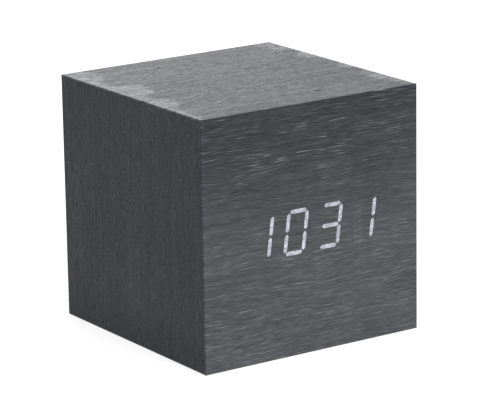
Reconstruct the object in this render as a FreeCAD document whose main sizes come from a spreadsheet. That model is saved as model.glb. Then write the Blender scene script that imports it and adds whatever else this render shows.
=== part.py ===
import FreeCAD, Part
import math
import os
import re
import Sketcher

# LED alarm clock in a veneered cube
# Millimetres. X runs to the right seen from the front, Y to the back, Z up.
# The origin is in the middle of the underside, and the front face looks along -Y.

driving = {
    # Cube and its boards
    "width": 80.0,
    "depth": 80.0,
    "height": 79.0,
    "veneer": 0.5,
    "board": 8.0,
    "arris": 0.3,
    "panel_gap": 0.2,
    "block": 8.0,
    "block_length": 9.0,
    # Pan-headed screws of the back panel, in counterbores
    "back_shank": 1.4,
    "back_head": 2.6,
    "back_head_height": 1.7,
    "back_screw": 14.0,
    "back_sink": 0.4,
    "shank_room": 0.15,
    "head_room": 0.3,
    # Four-digit display
    "digits": 4,
    "digit_pitch": 12.8,
    "digit_height": 14.2,
    "digit_width": 8.0,
    "bar_width": 1.2,
    "bar_gap": 0.5,
    "digit_slant": 8.0,
    "display_x": 0.2,
    "display_z": 39.3,
    "housing_rim": 0.95,
    "housing_rise": 2.4,
    "housing_room": 0.2,
    "resin_room": 0.05,
    "resin_depth": 6.5,
    "colon_radius": 0.8,
    "colon_spread": 3.2,
    "led_width": 0.4,
    "led_height": 0.4,
    # Circuit boards and their pan-headed screws
    "circuit": 1.6,
    "main_gap": 1.5,
    "main_height": 38.0,
    "key_width": 46.0,
    "key_height": 27.0,
    "key_middle": 43.5,
    "pan_shank": 1.0,
    "pan_head": 2.0,
    "pan_height": 1.4,
    "pan_screw": 6.4,
    "screw_inset": 3.0,
    # Keys
    "key_pitch": 12.0,
    "key_lift": 6.5,
    "key_pocket": 6.0,
    "key_pocket_height": 9.0,
    "cap_radius": 2.5,
    "cap_room": 0.1,
    "cap_flange": 6.4,
    "cap_flange_thick": 1.0,
    "cap_proud": 0.4,
    "switch_size": 6.0,
    "switch_height": 3.1,
    "switch_cover": 0.3,
    "plunger_side": 2.4,
    "plunger_foot": 3.4,
    "plunger_foot_gap": 0.1,
    "plunger_below": 1.4,
    "plunger_rise": 1.3,
    "well_side": 4.2,
    "well_depth": 2.2,
    "dome_thick": 0.4,
    "dome_snip": 0.9,
    # Power inlet and microphone
    "inlet_width": 7.8,
    "inlet_height": 2.9,
    "inlet_length": 8.1,
    "inlet_wall": 0.3,
    "inlet_room": 0.4,
    "inlet_drop": 6.5,
    "inlet_mouth": 5.6,
    "inlet_slope": 0.9,
    "tongue_width": 4.6,
    "tongue_height": 0.8,
    "microphone_x": 13.0,
    "microphone_drop": 7.5,
    "microphone_radius": 3.0,
    "microphone_length": 2.7,
    "microphone_hole": 0.8,
    # Parts on the main board
    "chip_x": -7.5,
    "chip_drop": 2.4,
    "chip_width": 7.5,
    "chip_length": 10.3,
    "chip_height": 2.3,
    "chip_stand": 0.15,
    "leg_count": 8,
    "leg_width": 0.4,
    "leg_pitch": 1.27,
    "leg_reach": 1.4,
    "crystal_x": -5.7,
    "crystal_inset": 6.6,
    "crystal_radius": 1.0,
    "crystal_length": 6.0,
    "capacitor_inset_x": 12.9,
    "capacitor_inset_z": 7.0,
    "capacitor_radius": 3.15,
    "capacitor_length": 7.7,
    "buzzer_inset_x": 11.1,
    "buzzer_inset_z": 8.5,
    "buzzer_radius": 6.0,
    "buzzer_length": 8.5,
    "coin_inset": 16.4,
    "coin_drop": 1.9,
    "coin_radius": 10.0,
    "coin_thick": 3.2,
    "coin_lift": 0.6,
    "holder_wall": 1.0,
    "holder_height": 3.2,
    "holder_room": 0.3,
    # Ribbon cable between the two boards
    "socket_x": 4.0,
    "socket_width": 12.4,
    "socket_height": 5.0,
    "socket_length": 4.0,
    "socket_floor": 1.2,
    "plug_width": 11.0,
    "plug_height": 3.4,
    "plug_length": 6.0,
    "plug_room": 0.1,
    "ribbon_width": 8.9,
    "ribbon_thick": 0.9,
    "ribbon_rise": 6.5,
    "ribbon_bend": 4.0,
    # Battery tray with its flange, door and contacts
    "cell_radius": 5.25,
    "cell_length": 44.5,
    "cell_gap": 0.7,
    "nub_radius": 2.6,
    "nub_length": 1.0,
    "cell_room": 0.2,
    "cell_slack": 0.2,
    "spring_room": 4.6,
    "contact": 0.4,
    "contact_width": 9.4,
    "contact_height": 8.0,
    "tab_width": 3.0,
    "tab_reach": 2.5,
    "tab_room": 0.2,
    "tray_wall": 1.2,
    "rib_inset": 5.0,
    "rib_width": 1.2,
    "rib_drop": 1.8,
    "rim_end": 4.9,
    "rim_side": 5.6,
    "flange_thick": 2.4,
    "flange_corner": 2.0,
    "flange_set": 0.3,
    "flange_gap": 0.2,
    "tray_gap": 0.3,
    "tray_shank": 1.0,
    "tray_head": 2.2,
    "tray_screw": 5.5,
    "tray_screw_inset_x": 3.9,
    "tray_screw_inset_y": 3.0,
    "ledge_end": 3.0,
    "ledge_side": 1.6,
    "door_thick": 1.5,
    "door_gap": 0.2,
    "door_room": 0.95,
    "tongue_reach": 1.7,
    "tongue_thick": 0.8,
    "tongue_y": 10.0,
    "hinge_tongue": 5.0,
    "tongue_room": 0.3,
    "tongue_swing": 1.2,
    "lip": 0.6,
    "leaf_thick": 0.8,
    "leaf_width": 9.0,
    "leaf_inset": 0.1,
    "nib_reach": 0.6,
    "nib_height": 0.7,
    "nib_lift": 0.3,
    "nib_room": 0.2,
    "scoop_radius": 5.0,
    "scoop_depth": 1.2,
    "grip_width": 0.8,
    "grip_depth": 0.3,
    "grip_pitch": 1.8,
    # Conical contact springs
    "wire_radius": 0.25,
    "coil_wide": 3.6,
    "coil_narrow": 2.2,
    "coil_turns": 3.0,
    # Battery leads
    "lead_radius": 0.7,
    "lead_rise": 6.0,
    "lead_forward": 4.0,
    "lead_crest": 2.0,
    "lead_run": 5.0,
    "solder_inset": 2.2,
    "solder_rise": 9.6,
}

doc = FreeCAD.newDocument("cube_clock")
sheet = doc.addObject("Spreadsheet::Sheet", "size")
for row, (name, value) in enumerate(driving.items(), start=1):
    sheet.set(f"A{row}", name)
    sheet.set(f"B{row}", str(value))
    sheet.setAlias(f"B{row}", name)
doc.recompute()

nodes = []


def bound(text):
    """Write an expression with the sheet's name before each size."""
    return re.sub(r"[a-z_]+", lambda word: f"size.{word[0]}" if word[0] in driving else word[0], text)


def amount(text):
    """Work out an expression of sizes."""
    return float(sheet.evalExpression(bound(text)))


def keep(piece):
    """List a finished piece as a node of the clock."""
    nodes.append(piece)
    return piece


def new_body(name):
    piece = doc.addObject("PartDesign::Body", name)
    piece.Label = name
    return piece


def sketch(piece, plane, level="0"):
    """Start a drawing on one of the body's own planes, at a level along that plane's row axis."""
    drawing = piece.newObject("Sketcher::SketchObject", f"{piece.Name}_drawing")
    base = next(item for item in piece.Origin.OriginFeatures if item.Role == plane)
    drawing.AttachmentSupport = [(base, "")]
    drawing.MapMode = "FlatFace"
    side = "-" if plane == "XZ_Plane" else ""
    drawing.setExpression("AttachmentOffset.Base.z", bound(f"{side}({level})"))
    return drawing


def hold(drawing, wanted):
    """Add dimensions (kind, where, expression) that follow the sheet."""
    dimensions = [Sketcher.Constraint(kind, *where, amount(text)) for kind, where, text in wanted]
    first = drawing.ConstraintCount
    drawing.addConstraint(dimensions)
    for number, (kind, where, text) in enumerate(wanted, start=first):
        drawing.setExpression(f"Constraints[{number}]", bound(text))


def outline(drawing, points):
    """Draw a closed outline whose corners are held by dimensions."""
    first = drawing.GeometryCount
    spots = [FreeCAD.Vector(amount(across), amount(up), 0) for across, up in points]
    count = len(points)
    drawing.addGeometry(
        [Part.LineSegment(spots[corner], spots[(corner + 1) % count]) for corner in range(count)]
    )
    joints = []
    for corner in range(count):
        following = first + (corner + 1) % count
        joints.append(Sketcher.Constraint("Coincident", first + corner, 2, following, 1))
    drawing.addConstraint(joints)
    wanted = []
    for corner, (across, up) in enumerate(points):
        wanted.append(("DistanceX", (-1, 1, first + corner, 1), across))
        wanted.append(("DistanceY", (-1, 1, first + corner, 1), up))
    hold(drawing, wanted)


def rectangle(drawing, left, low, right, high):
    outline(drawing, [(left, low), (right, low), (right, high), (left, high)])


def square(drawing, across, up, size):
    """Draw a square of a given side about a spot."""
    rectangle(
        drawing,
        f"{across} - ({size})/2",
        f"{up} - ({size})/2",
        f"{across} + ({size})/2",
        f"{up} + ({size})/2",
    )


def circle(drawing, across, up, radius):
    spot = FreeCAD.Vector(amount(across), amount(up), 0)
    number = drawing.addGeometry(Part.Circle(spot, FreeCAD.Vector(0, 0, 1), amount(radius)))
    hold(
        drawing,
        [
            ("DistanceX", (-1, 1, number, 3), across),
            ("DistanceY", (-1, 1, number, 3), up),
            ("Radius", (number,), radius),
        ],
    )


def faces_back(drawing):
    """Tell whether a drawing's own normal points along a negative row axis."""
    return drawing.AttachmentSupport[0][0].Role == "XZ_Plane"


def pad(piece, drawing, length, toward=1):
    """Raise a drawing into a solid, along the positive row axis or against it."""
    feature = piece.newObject("PartDesign::Pad", f"{piece.Name}_pad")
    feature.Profile = drawing
    feature.setExpression("Length", bound(length))
    feature.Reversed = (toward > 0) == faces_back(drawing)
    return feature


def pocket(piece, drawing, length, toward):
    """Cut a drawing out of the solid, and see that something was cut."""
    doc.recompute()
    before = piece.Shape.Volume
    feature = piece.newObject("PartDesign::Pocket", f"{piece.Name}_pocket")
    feature.Profile = drawing
    feature.setExpression("Length", bound(length))
    feature.Reversed = (toward > 0) != faces_back(drawing)
    doc.recompute()
    if not piece.Shape.Volume < before:
        raise RuntimeError(f"{feature.Name} cuts nothing")
    return feature


def row_of(piece, feature, pitch, count):
    """Repeat a feature along X."""
    pattern = piece.newObject("PartDesign::LinearPattern", f"{piece.Name}_row")
    pattern.Originals = [feature]
    along = next(item for item in piece.Origin.OriginFeatures if item.Role == "X_Axis")
    pattern.Direction = (along, [""])
    pattern.Mode = "Spacing"
    pattern.setExpression("Offset", bound(pitch))
    pattern.setExpression("Occurrences", bound(count))
    piece.Tip = pattern
    return pattern


def round_edges(piece, radius, chosen):
    """Round the edges whose middle passes a test."""
    doc.recompute()
    names = []
    for number, edge in enumerate(piece.Shape.Edges, start=1):
        if chosen(edge.CenterOfMass):
            names.append(f"Edge{number}")
    base = piece.Tip
    feature = piece.newObject("PartDesign::Fillet", f"{piece.Name}_fillet")
    feature.Base = (base, names)
    feature.setExpression("Radius", bound(radius))
    return feature


turns = {
    "+X": FreeCAD.Rotation(FreeCAD.Vector(0, 1, 0), 90),
    "-X": FreeCAD.Rotation(FreeCAD.Vector(0, 1, 0), -90),
    "+Y": FreeCAD.Rotation(FreeCAD.Vector(1, 0, 0), -90),
    "-Y": FreeCAD.Rotation(FreeCAD.Vector(1, 0, 0), 90),
    "+Z": FreeCAD.Rotation(),
    "-Z": FreeCAD.Rotation(FreeCAD.Vector(1, 0, 0), 180),
}


def place(piece, spot, toward="+Z"):
    """Put a piece at a spot, its own Z axis pointing along a row axis."""
    piece.Placement = FreeCAD.Placement(FreeCAD.Vector(), turns[toward])
    for axis, text in zip("xyz", spot):
        piece.setExpression(f"Placement.Base.{axis}", bound(text))


def turned(name, profile, spot, toward):
    """Turn a profile of (radius, height) points about its own axis."""
    piece = new_body(name)
    drawing = sketch(piece, "XZ_Plane")
    outline(drawing, profile)
    feature = piece.newObject("PartDesign::Revolution", f"{name}_turning")
    feature.Profile = drawing
    feature.ReferenceAxis = (drawing, ["V_Axis"])
    feature.Angle = 360
    place(piece, spot, toward)
    return piece


def together(name, pieces):
    """Keep like pieces as separate solids of one node."""
    feature = doc.addObject("Part::Compound", name)
    feature.Label = name
    feature.Links = pieces
    return feature


def block(name, low, high):
    """A plain block between two corners."""
    feature = doc.addObject("Part::Box", name)
    feature.Label = name
    for side, start, end in zip(("Length", "Width", "Height"), low, high):
        feature.setExpression(side, bound(f"({end}) - ({start})"))
    place(feature, low)
    return feature


# Places that several pieces share
front = "(-depth/2)"
back = "(depth/2)"
side = "(width/2)"
core_front = f"({front} + veneer)"
core_back = f"({back} - veneer)"
core_side = f"({side} - veneer)"
core_roof = "(height - veneer)"
room_front = f"({core_front} + board)"
room_back = f"({core_back} - board)"
room_side = f"({core_side} - board)"
room_floor = "(veneer + board)"
room_roof = f"({core_roof} - board)"
digit_run = "((digits - 1)*digit_pitch + digit_width + digit_height*tan(digit_slant))"
housing_left = f"(display_x - {digit_run}/2 - housing_rim)"
housing_right = f"(display_x + {digit_run}/2 + housing_rim)"
housing_base = "(display_z - digit_height/2 - housing_rise)"
housing_top = "(display_z + digit_height/2 + housing_rise)"
key_row = "(key_middle + key_lift)"
inlet_z = "(key_middle - inlet_drop)"
microphone_z = "(key_middle - microphone_drop)"
main_side = f"({room_side} - main_gap)"
main_left = f"(display_x - {main_side})"
main_right = f"(display_x + {main_side})"
main_base = "(display_z - main_height/2)"
main_top = "(display_z + main_height/2)"
tray_end = "((cell_length + spring_room + 2*contact + cell_slack)/2)"
cell_pitch = "(2*cell_radius + cell_gap)"
tray_side = f"(1.5*{cell_pitch})"
recess_end = f"({tray_end} + ledge_end)"
recess_side = f"({tray_side} + ledge_side)"
flange_end = f"({recess_end} + rim_end)"
flange_side = f"({recess_side} + rim_side)"
flange_top = "(flange_set + flange_thick)"

# Segments of one digit, each between two corners of its upright frame
reach = "((digit_width - bar_width)/2)"
climb = "((digit_height - bar_width)/2)"
bars = {
    "top": ((-1, 1), (1, 1)),
    "upper_right": ((1, 1), (1, 0)),
    "lower_right": ((1, 0), (1, -1)),
    "bottom": ((1, -1), (-1, -1)),
    "lower_left": ((-1, -1), (-1, 0)),
    "upper_left": ((-1, 0), (-1, 1)),
    "middle": ((-1, 0), (1, 0)),
}
lit_bars = [
    ["upper_right", "lower_right"],
    ["top", "upper_right", "lower_right", "bottom", "lower_left", "upper_left"],
    ["top", "upper_right", "lower_right", "bottom", "middle"],
    ["upper_right", "lower_right"],
]


def digit_centre(digit):
    return f"(display_x + ({digit} - (digits - 1)/2)*digit_pitch)"


def draw_bar(drawing, centre, bar, room="0"):
    """Draw one pointed segment of a slanted digit, smaller by the room on every side."""
    (start_x, start_z), (end_x, end_z) = bars[bar]
    run_x = (end_x > start_x) - (end_x < start_x)
    run_z = (end_z > start_z) - (end_z < start_z)
    half = f"(bar_width/2 - {room})"
    tip = f"(bar_gap + {room})"
    shoulder = f"(bar_gap + {room} + {half})"
    points = []
    for end, along, across in (
        ("start", tip, "0"),
        ("start", shoulder, half),
        ("end", shoulder, half),
        ("end", tip, "0"),
        ("end", shoulder, f"(-{half})"),
        ("start", shoulder, f"(-{half})"),
    ):
        corner_x, corner_z = (start_x, start_z) if end == "start" else (end_x, end_z)
        sense = 1 if end == "start" else -1
        upright = f"({corner_x}*{reach} + {sense * run_x}*{along} + {-run_z}*{across})"
        height = f"({corner_z}*{climb} + {sense * run_z}*{along} + {run_x}*{across})"
        points.append((f"{centre} + {upright} + {height}*tan(digit_slant)", f"display_z + {height}"))
    outline(drawing, points)


# Front board: its four edges are mitred, so that it narrows towards the inside
front_board = keep(new_body("front_board"))
blank = sketch(front_board, "XZ_Plane", core_front)
rectangle(blank, f"-{core_side}", "veneer", core_side, core_roof)
pad(front_board, blank, "board")
for plane, outer_low, outer_high, inner_low, inner_high in (
    ("YZ_Plane", "veneer", core_roof, room_floor, room_roof),
    ("XY_Plane", f"(-{core_side})", core_side, f"(-{room_side})", room_side),
):
    mitres = sketch(front_board, plane, f"-{side}" if plane == "YZ_Plane" else "0")
    for outer, inner in ((outer_low, inner_low), (outer_high, inner_high)):
        corners = [(core_front, outer), (room_front, inner), (room_front, outer)]
        if plane == "XY_Plane":
            corners = [(up, across) for across, up in corners]
        outline(mitres, corners)
    pocket(front_board, mitres, "width" if plane == "YZ_Plane" else "height", 1)
window = sketch(front_board, "XZ_Plane", core_front)
rectangle(
    window,
    f"{housing_left} - housing_room",
    f"{housing_base} - housing_room",
    f"{housing_right} + housing_room",
    f"{housing_top} + housing_room",
)
pocket(front_board, window, "board", 1)

# Two screws, in opposite corners, hold the main circuit board against the front board
main_corners = []
for sense in (-1, 1):
    spot_x = f"(display_x + {sense}*({main_side} - screw_inset))"
    spot_z = f"(display_z - {sense}*(main_height/2 - screw_inset))"
    main_corners.append((spot_x, spot_z))

# Top, bottom, left and right boards: mitred to each other and to the front board
long_run = f"({back} - {core_front})"


def side_board(name, section, mitre_plane, mitre):
    """Raise a mitred section from front to back and mitre its front end."""
    piece = keep(new_body(name))
    drawing = sketch(piece, "XZ_Plane", core_front)
    outline(drawing, section)
    pad(piece, drawing, long_run)
    level = f"-{side}" if mitre_plane == "YZ_Plane" else "0"
    end = sketch(piece, mitre_plane, level)
    outline(end, mitre)
    pocket(piece, end, "width" if mitre_plane == "YZ_Plane" else "height", 1)
    return piece


side_board(
    "top_board",
    [
        (f"-{core_side}", core_roof),
        (core_side, core_roof),
        (room_side, room_roof),
        (f"-{room_side}", room_roof),
    ],
    "YZ_Plane",
    [(core_front, core_roof), (room_front, room_roof), (core_front, room_roof)],
)
bottom_board = side_board(
    "bottom_board",
    [
        (f"-{core_side}", "veneer"),
        (core_side, "veneer"),
        (room_side, room_floor),
        (f"-{room_side}", room_floor),
    ],
    "YZ_Plane",
    [(core_front, "veneer"), (room_front, room_floor), (core_front, room_floor)],
)
for name, sense in (("left_board", -1), ("right_board", 1)):
    side_board(
        name,
        [
            (f"{sense}*{core_side}", "veneer"),
            (f"{sense}*{core_side}", core_roof),
            (f"{sense}*{room_side}", room_roof),
            (f"{sense}*{room_side}", room_floor),
        ],
        "XY_Plane",
        [
            (f"{sense}*{core_side}", core_front),
            (f"{sense}*{room_side}", room_front),
            (f"{sense}*{room_side}", core_front),
        ],
    )

# Glue blocks in the corners carry the back panel and take its screws
block_front = f"({room_back} - block_length)"
blocks = []
back_corners = []
for sense_x in (-1, 1):
    for base, top in ((room_floor, f"({room_floor} + block)"), (f"({room_roof} - block)", room_roof)):
        left, right = sorted((f"{sense_x}*{room_side}", f"{sense_x}*({room_side} - block)"), key=amount)
        blocks.append((left, base, right, top))
        back_corners.append((f"({sense_x}*({room_side} - block/2))", f"(({base} + {top})/2)"))
corner_blocks = keep(new_body("corner_blocks"))
sticks = sketch(corner_blocks, "XZ_Plane", block_front)
for left, base, right, top in blocks:
    rectangle(sticks, left, base, right, top)
pad(corner_blocks, sticks, "block_length")

# Back panel: inset between the boards, hollowed from inside for the keys
panel_side = f"({room_side} - panel_gap)"
panel_base = f"({room_floor} + panel_gap)"
panel_top = f"({room_roof} - panel_gap)"
key_spots = {"set": "key_pitch", "up": "0", "down": "(-key_pitch)"}
inlet_side = "(inlet_width/2 + inlet_room)"
inlet_rise = "(inlet_height/2 + inlet_room)"
back_board = keep(new_body("back_board"))
panel = sketch(back_board, "XZ_Plane", room_back)
rectangle(panel, f"-{panel_side}", panel_base, panel_side, panel_top)
pad(back_board, panel, "board")
hollow = sketch(back_board, "XZ_Plane", room_back)
hollow_side = "(key_pitch + key_pocket_height/2)"
rectangle(
    hollow,
    f"-{hollow_side}",
    f"{key_row} - key_pocket_height/2",
    hollow_side,
    f"{key_row} + key_pocket_height/2",
)
square(hollow, "microphone_x", microphone_z, "2*(microphone_radius + housing_room)")
pocket(back_board, hollow, "key_pocket", 1)


def draw_back_holes(drawing):
    """Draw the openings for caps, power inlet and microphone."""
    for spot_x in key_spots.values():
        circle(drawing, spot_x, key_row, "cap_radius + cap_room")
    rectangle(
        drawing, f"-{inlet_side}", f"{inlet_z} - {inlet_rise}", inlet_side, f"{inlet_z} + {inlet_rise}"
    )
    circle(drawing, "microphone_x", microphone_z, "microphone_hole")


holes = sketch(back_board, "XZ_Plane", room_back)
draw_back_holes(holes)
pocket(back_board, holes, "board", 1)
key_corners = []
for sense in (-1, 1):
    spot_x = f"({sense}*(key_width/2 - screw_inset))"
    spot_z = f"(key_middle - {sense}*(key_height/2 - screw_inset))"
    key_corners.append((spot_x, spot_z))
head_seat = f"({back} - back_sink - back_head_height)"
shanks = sketch(back_board, "XZ_Plane", core_back)
for spot_x, spot_z in back_corners:
    circle(shanks, spot_x, spot_z, "back_shank + shank_room")
pocket(back_board, shanks, "board", -1)
counterbores = sketch(back_board, "XZ_Plane", core_back)
for spot_x, spot_z in back_corners:
    circle(counterbores, spot_x, spot_z, "back_head + head_room")
pocket(back_board, counterbores, f"{core_back} - {head_seat}", -1)

# Veneers: the front one covers the edges of the others, and the top one those of the sides
front_veneer = keep(new_body("front_veneer"))
sheet_drawing = sketch(front_veneer, "XZ_Plane", front)
rectangle(sheet_drawing, f"-{side}", "0", side, "height")
pad(front_veneer, sheet_drawing, "veneer")
for digit, lit in enumerate(lit_bars):
    windows = sketch(front_veneer, "XZ_Plane", front)
    for bar in lit:
        draw_bar(windows, digit_centre(digit), bar)
    pocket(front_veneer, windows, "veneer", 1)
near = 1e-4


def is_rim(point):
    """Tell whether an edge lies on the outline of the front face."""
    on_face = abs(point.y - amount(front)) < near
    on_side = abs(abs(point.x) - amount(side)) < near
    on_end = abs(point.z) < near or abs(point.z - amount("height")) < near
    return on_face and (on_side or on_end)


round_edges(front_veneer, "arris", is_rim)

top_veneer = keep(new_body("top_veneer"))
sheet_drawing = sketch(top_veneer, "XY_Plane", core_roof)
rectangle(sheet_drawing, f"-{side}", core_front, side, back)
pad(top_veneer, sheet_drawing, "veneer")


def is_top_rim(point):
    on_face = abs(point.z - amount("height")) < near
    on_side = abs(abs(point.x) - amount(side)) < near
    on_back = abs(point.y - amount(back)) < near
    return on_face and (on_side or on_back)


round_edges(top_veneer, "arris", is_top_rim)

for name, sense in (("left_veneer", -1), ("right_veneer", 1)):
    veneer = keep(new_body(name))
    sheet_drawing = sketch(veneer, "YZ_Plane", f"{sense}*{core_side}")
    rectangle(sheet_drawing, core_front, "0", back, core_roof)
    pad(veneer, sheet_drawing, "veneer", sense)

    def is_side_rim(point):
        on_face = abs(abs(point.x) - amount(side)) < near
        on_back = abs(point.y - amount(back)) < near
        return on_face and (on_back or abs(point.z) < near)

    round_edges(veneer, "arris", is_side_rim)

rebate_side = f"({flange_end} + flange_gap)"
rebate_rise = f"({flange_side} + flange_gap)"
bottom_veneer = keep(new_body("bottom_veneer"))
sheet_drawing = sketch(bottom_veneer, "XY_Plane", "0")
rectangle(sheet_drawing, f"-{core_side}", core_front, core_side, back)
rectangle(sheet_drawing, f"-{rebate_side}", f"-{rebate_rise}", rebate_side, rebate_rise)
pad(bottom_veneer, sheet_drawing, "veneer")

back_veneer = keep(new_body("back_veneer"))
sheet_drawing = sketch(back_veneer, "XZ_Plane", core_back)
rectangle(sheet_drawing, f"-{panel_side}", panel_base, panel_side, panel_top)
draw_back_holes(sheet_drawing)
for spot_x, spot_z in back_corners:
    circle(sheet_drawing, spot_x, spot_z, "back_head + head_room")
pad(back_veneer, sheet_drawing, "veneer")


def screw(name, spot, toward, shank, head, head_height, length):
    """Screw whose round head has its underside at the spot; its plain shank has six flats."""
    piece = new_body(name)
    head_disc = sketch(piece, "XY_Plane")
    circle(head_disc, "0", "0", head)
    pad(piece, head_disc, head_height, -1)
    core = sketch(piece, "XY_Plane")
    outline(core, [(f"{shank}*cos({turn})", f"{shank}*sin({turn})") for turn in range(0, 360, 60)])
    pad(piece, core, length)
    place(piece, spot, toward)
    return piece


back_screws = []
for number, (spot_x, spot_z) in enumerate(back_corners, start=1):
    spot = (spot_x, head_seat, spot_z)
    sizes = ("back_shank", "back_head", "back_head_height", "back_screw")
    back_screws.append(screw(f"back_screw_{number}", spot, "-Y", *sizes))
keep(together("back_screws", back_screws))
pan_sizes = ("pan_shank", "pan_head", "pan_height", "pan_screw")

# Thin skins of veneer over the segments that are lit, one node for each digit
for digit, lit in enumerate(lit_bars):
    skin = keep(new_body(f"lit_digit_{digit + 1}"))
    shapes = sketch(skin, "XZ_Plane", front)
    for bar in lit:
        draw_bar(shapes, digit_centre(digit), bar)
    pad(skin, shapes, "veneer")

# Display housing: one moulding with a well behind each of its 28 segments
housing = keep(new_body("display_housing"))
face = sketch(housing, "XZ_Plane", core_front)
rectangle(face, housing_left, housing_base, housing_right, housing_top)
pad(housing, face, "board")
wells = sketch(housing, "XZ_Plane", core_front)
for bar in bars:
    draw_bar(wells, digit_centre(0), bar)
first_wells = pocket(housing, wells, "board", 1)
row_of(housing, first_wells, "digit_pitch", "digits")
colon_spots = []
for sense in (-1, 1):
    spot_x = f"(display_x + {sense}*colon_spread*tan(digit_slant))"
    colon_spots.append((spot_x, f"(display_z + {sense}*colon_spread)"))
dots = sketch(housing, "XZ_Plane", core_front)
for spot_x, spot_z in colon_spots:
    circle(dots, spot_x, spot_z, "colon_radius")
pocket(housing, dots, "board", 1)

# Milky resin cast in the wells, short of the LED chips behind it
resin = keep(new_body("segment_resin"))
fills = sketch(resin, "XZ_Plane", core_front)
for bar in bars:
    draw_bar(fills, digit_centre(0), bar, "resin_room")
first_fills = pad(resin, fills, "resin_depth")
row_of(resin, first_fills, "digit_pitch", "digits")
round_fills = sketch(resin, "XZ_Plane", core_front)
for spot_x, spot_z in colon_spots:
    circle(round_fills, spot_x, spot_z, "colon_radius - resin_room")
pad(resin, round_fills, "resin_depth")

# One LED chip behind each segment and dot
led_chips = keep(new_body("led_chips"))
dice = sketch(led_chips, "XZ_Plane", room_front)
bar_spots = []
for (start_x, start_z), (end_x, end_z) in bars.values():
    height = f"({(start_z + end_z) / 2}*{climb})"
    across = f"({(start_x + end_x) / 2}*{reach})"
    spot_x = f"({digit_centre(0)} + {across} + {height}*tan(digit_slant))"
    bar_spots.append((spot_x, f"(display_z + {height})"))


def draw_dice(drawing, spots):
    """Draw the square of each LED chip."""
    for spot_x, spot_z in spots:
        square(drawing, spot_x, spot_z, "led_width")


draw_dice(dice, bar_spots)
first_dice = pad(led_chips, dice, "led_height", -1)
row_of(led_chips, first_dice, "digit_pitch", "digits")
dice = sketch(led_chips, "XZ_Plane", room_front)
draw_dice(dice, colon_spots)
pad(led_chips, dice, "led_height", -1)

# Main circuit board
main_back = f"({room_front} + circuit)"
main_board = keep(new_body("main_board"))
sheet_drawing = sketch(main_board, "XZ_Plane", room_front)
rectangle(sheet_drawing, main_left, main_base, main_right, main_top)
for spot_x, spot_z in main_corners:
    circle(sheet_drawing, spot_x, spot_z, "pan_shank + shank_room")
pad(main_board, sheet_drawing, "circuit")
main_screws = []
for number, (spot_x, spot_z) in enumerate(main_corners, start=1):
    main_screws.append(screw(f"main_screw_{number}", (spot_x, main_back, spot_z), "-Y", *pan_sizes))
keep(together("main_board_screws", main_screws))

# Clock chip with gull-wing legs along both long sides
chip_z = "(display_z - chip_drop)"
chip = keep(new_body("clock_chip"))
body_face = sketch(chip, "XZ_Plane", f"{main_back} + chip_stand")
rectangle(
    body_face,
    "chip_x - chip_length/2",
    f"{chip_z} - chip_width/2",
    "chip_x + chip_length/2",
    f"{chip_z} + chip_width/2",
)
pad(chip, body_face, "chip_height")
leg_profile = sketch(chip, "YZ_Plane", "chip_x - (leg_count - 1)/2*leg_pitch - leg_width/2")
leg_mid = f"({main_back} + chip_stand + chip_height/2)"
for sense in (-1, 1):
    outer = f"{chip_z} + {sense}*(chip_width/2 + leg_reach)"
    knee = f"{chip_z} + {sense}*(chip_width/2 + leg_reach/2)"
    inner = f"{chip_z} + {sense}*(chip_width/2 - chip_stand)"
    thick = "leg_width/2"
    outline(
        leg_profile,
        [
            (main_back, outer),
            (f"{main_back} + {thick}", outer),
            (f"{main_back} + {thick}", f"{knee} + {sense}*{thick}"),
            (f"{leg_mid} + {thick}", f"{knee} + {sense}*{thick}"),
            (f"{leg_mid} + {thick}", inner),
            (leg_mid, inner),
            (leg_mid, knee),
            (main_back, knee),
        ],
    )
first_legs = pad(chip, leg_profile, "leg_width")
row_of(chip, first_legs, "leg_pitch", "leg_count")

# Small turned cans on the main board
keep(
    turned(
        "crystal",
        [
            ("0", "0"),
            ("crystal_radius", "0"),
            ("crystal_radius", "crystal_length"),
            ("0", "crystal_length"),
        ],
        ("crystal_x - crystal_length/2", f"{main_back} + crystal_radius", f"{main_base} + crystal_inset"),
        "+X",
    )
)
keep(
    turned(
        "capacitor",
        [
            ("0", "0"),
            ("capacitor_radius", "0"),
            ("capacitor_radius", "capacitor_length"),
            ("0", "capacitor_length"),
        ],
        (f"{main_left} + capacitor_inset_x", main_back, f"{main_base} + capacitor_inset_z"),
        "+Y",
    )
)
keep(
    turned(
        "buzzer",
        [
            ("0", "0"),
            ("buzzer_radius", "0"),
            ("buzzer_radius", "buzzer_length"),
            ("0", "buzzer_length"),
        ],
        (f"{main_left} + buzzer_inset_x", main_back, f"{main_top} - buzzer_inset_z"),
        "+Y",
    )
)

# Back-up coin cell lying in the round well of a square holder
coin_x = f"({main_right} - coin_inset)"
coin_z = "(display_z - coin_drop)"
holder = keep(new_body("coin_cell_holder"))
frame = sketch(holder, "XZ_Plane", main_back)
square(frame, coin_x, coin_z, "2*(coin_radius + holder_room + holder_wall)")
pad(holder, frame, "holder_height")
coin_well = sketch(holder, "XZ_Plane", f"{main_back} + coin_lift")
circle(coin_well, coin_x, coin_z, "coin_radius + holder_room")
pocket(holder, coin_well, "holder_height", 1)
keep(
    turned(
        "coin_cell",
        [
            ("0", "0"),
            ("coin_radius", "0"),
            ("coin_radius", "coin_thick"),
            ("0", "coin_thick"),
        ],
        (coin_x, f"{main_back} + coin_lift", coin_z),
        "+Y",
    )
)

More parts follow.
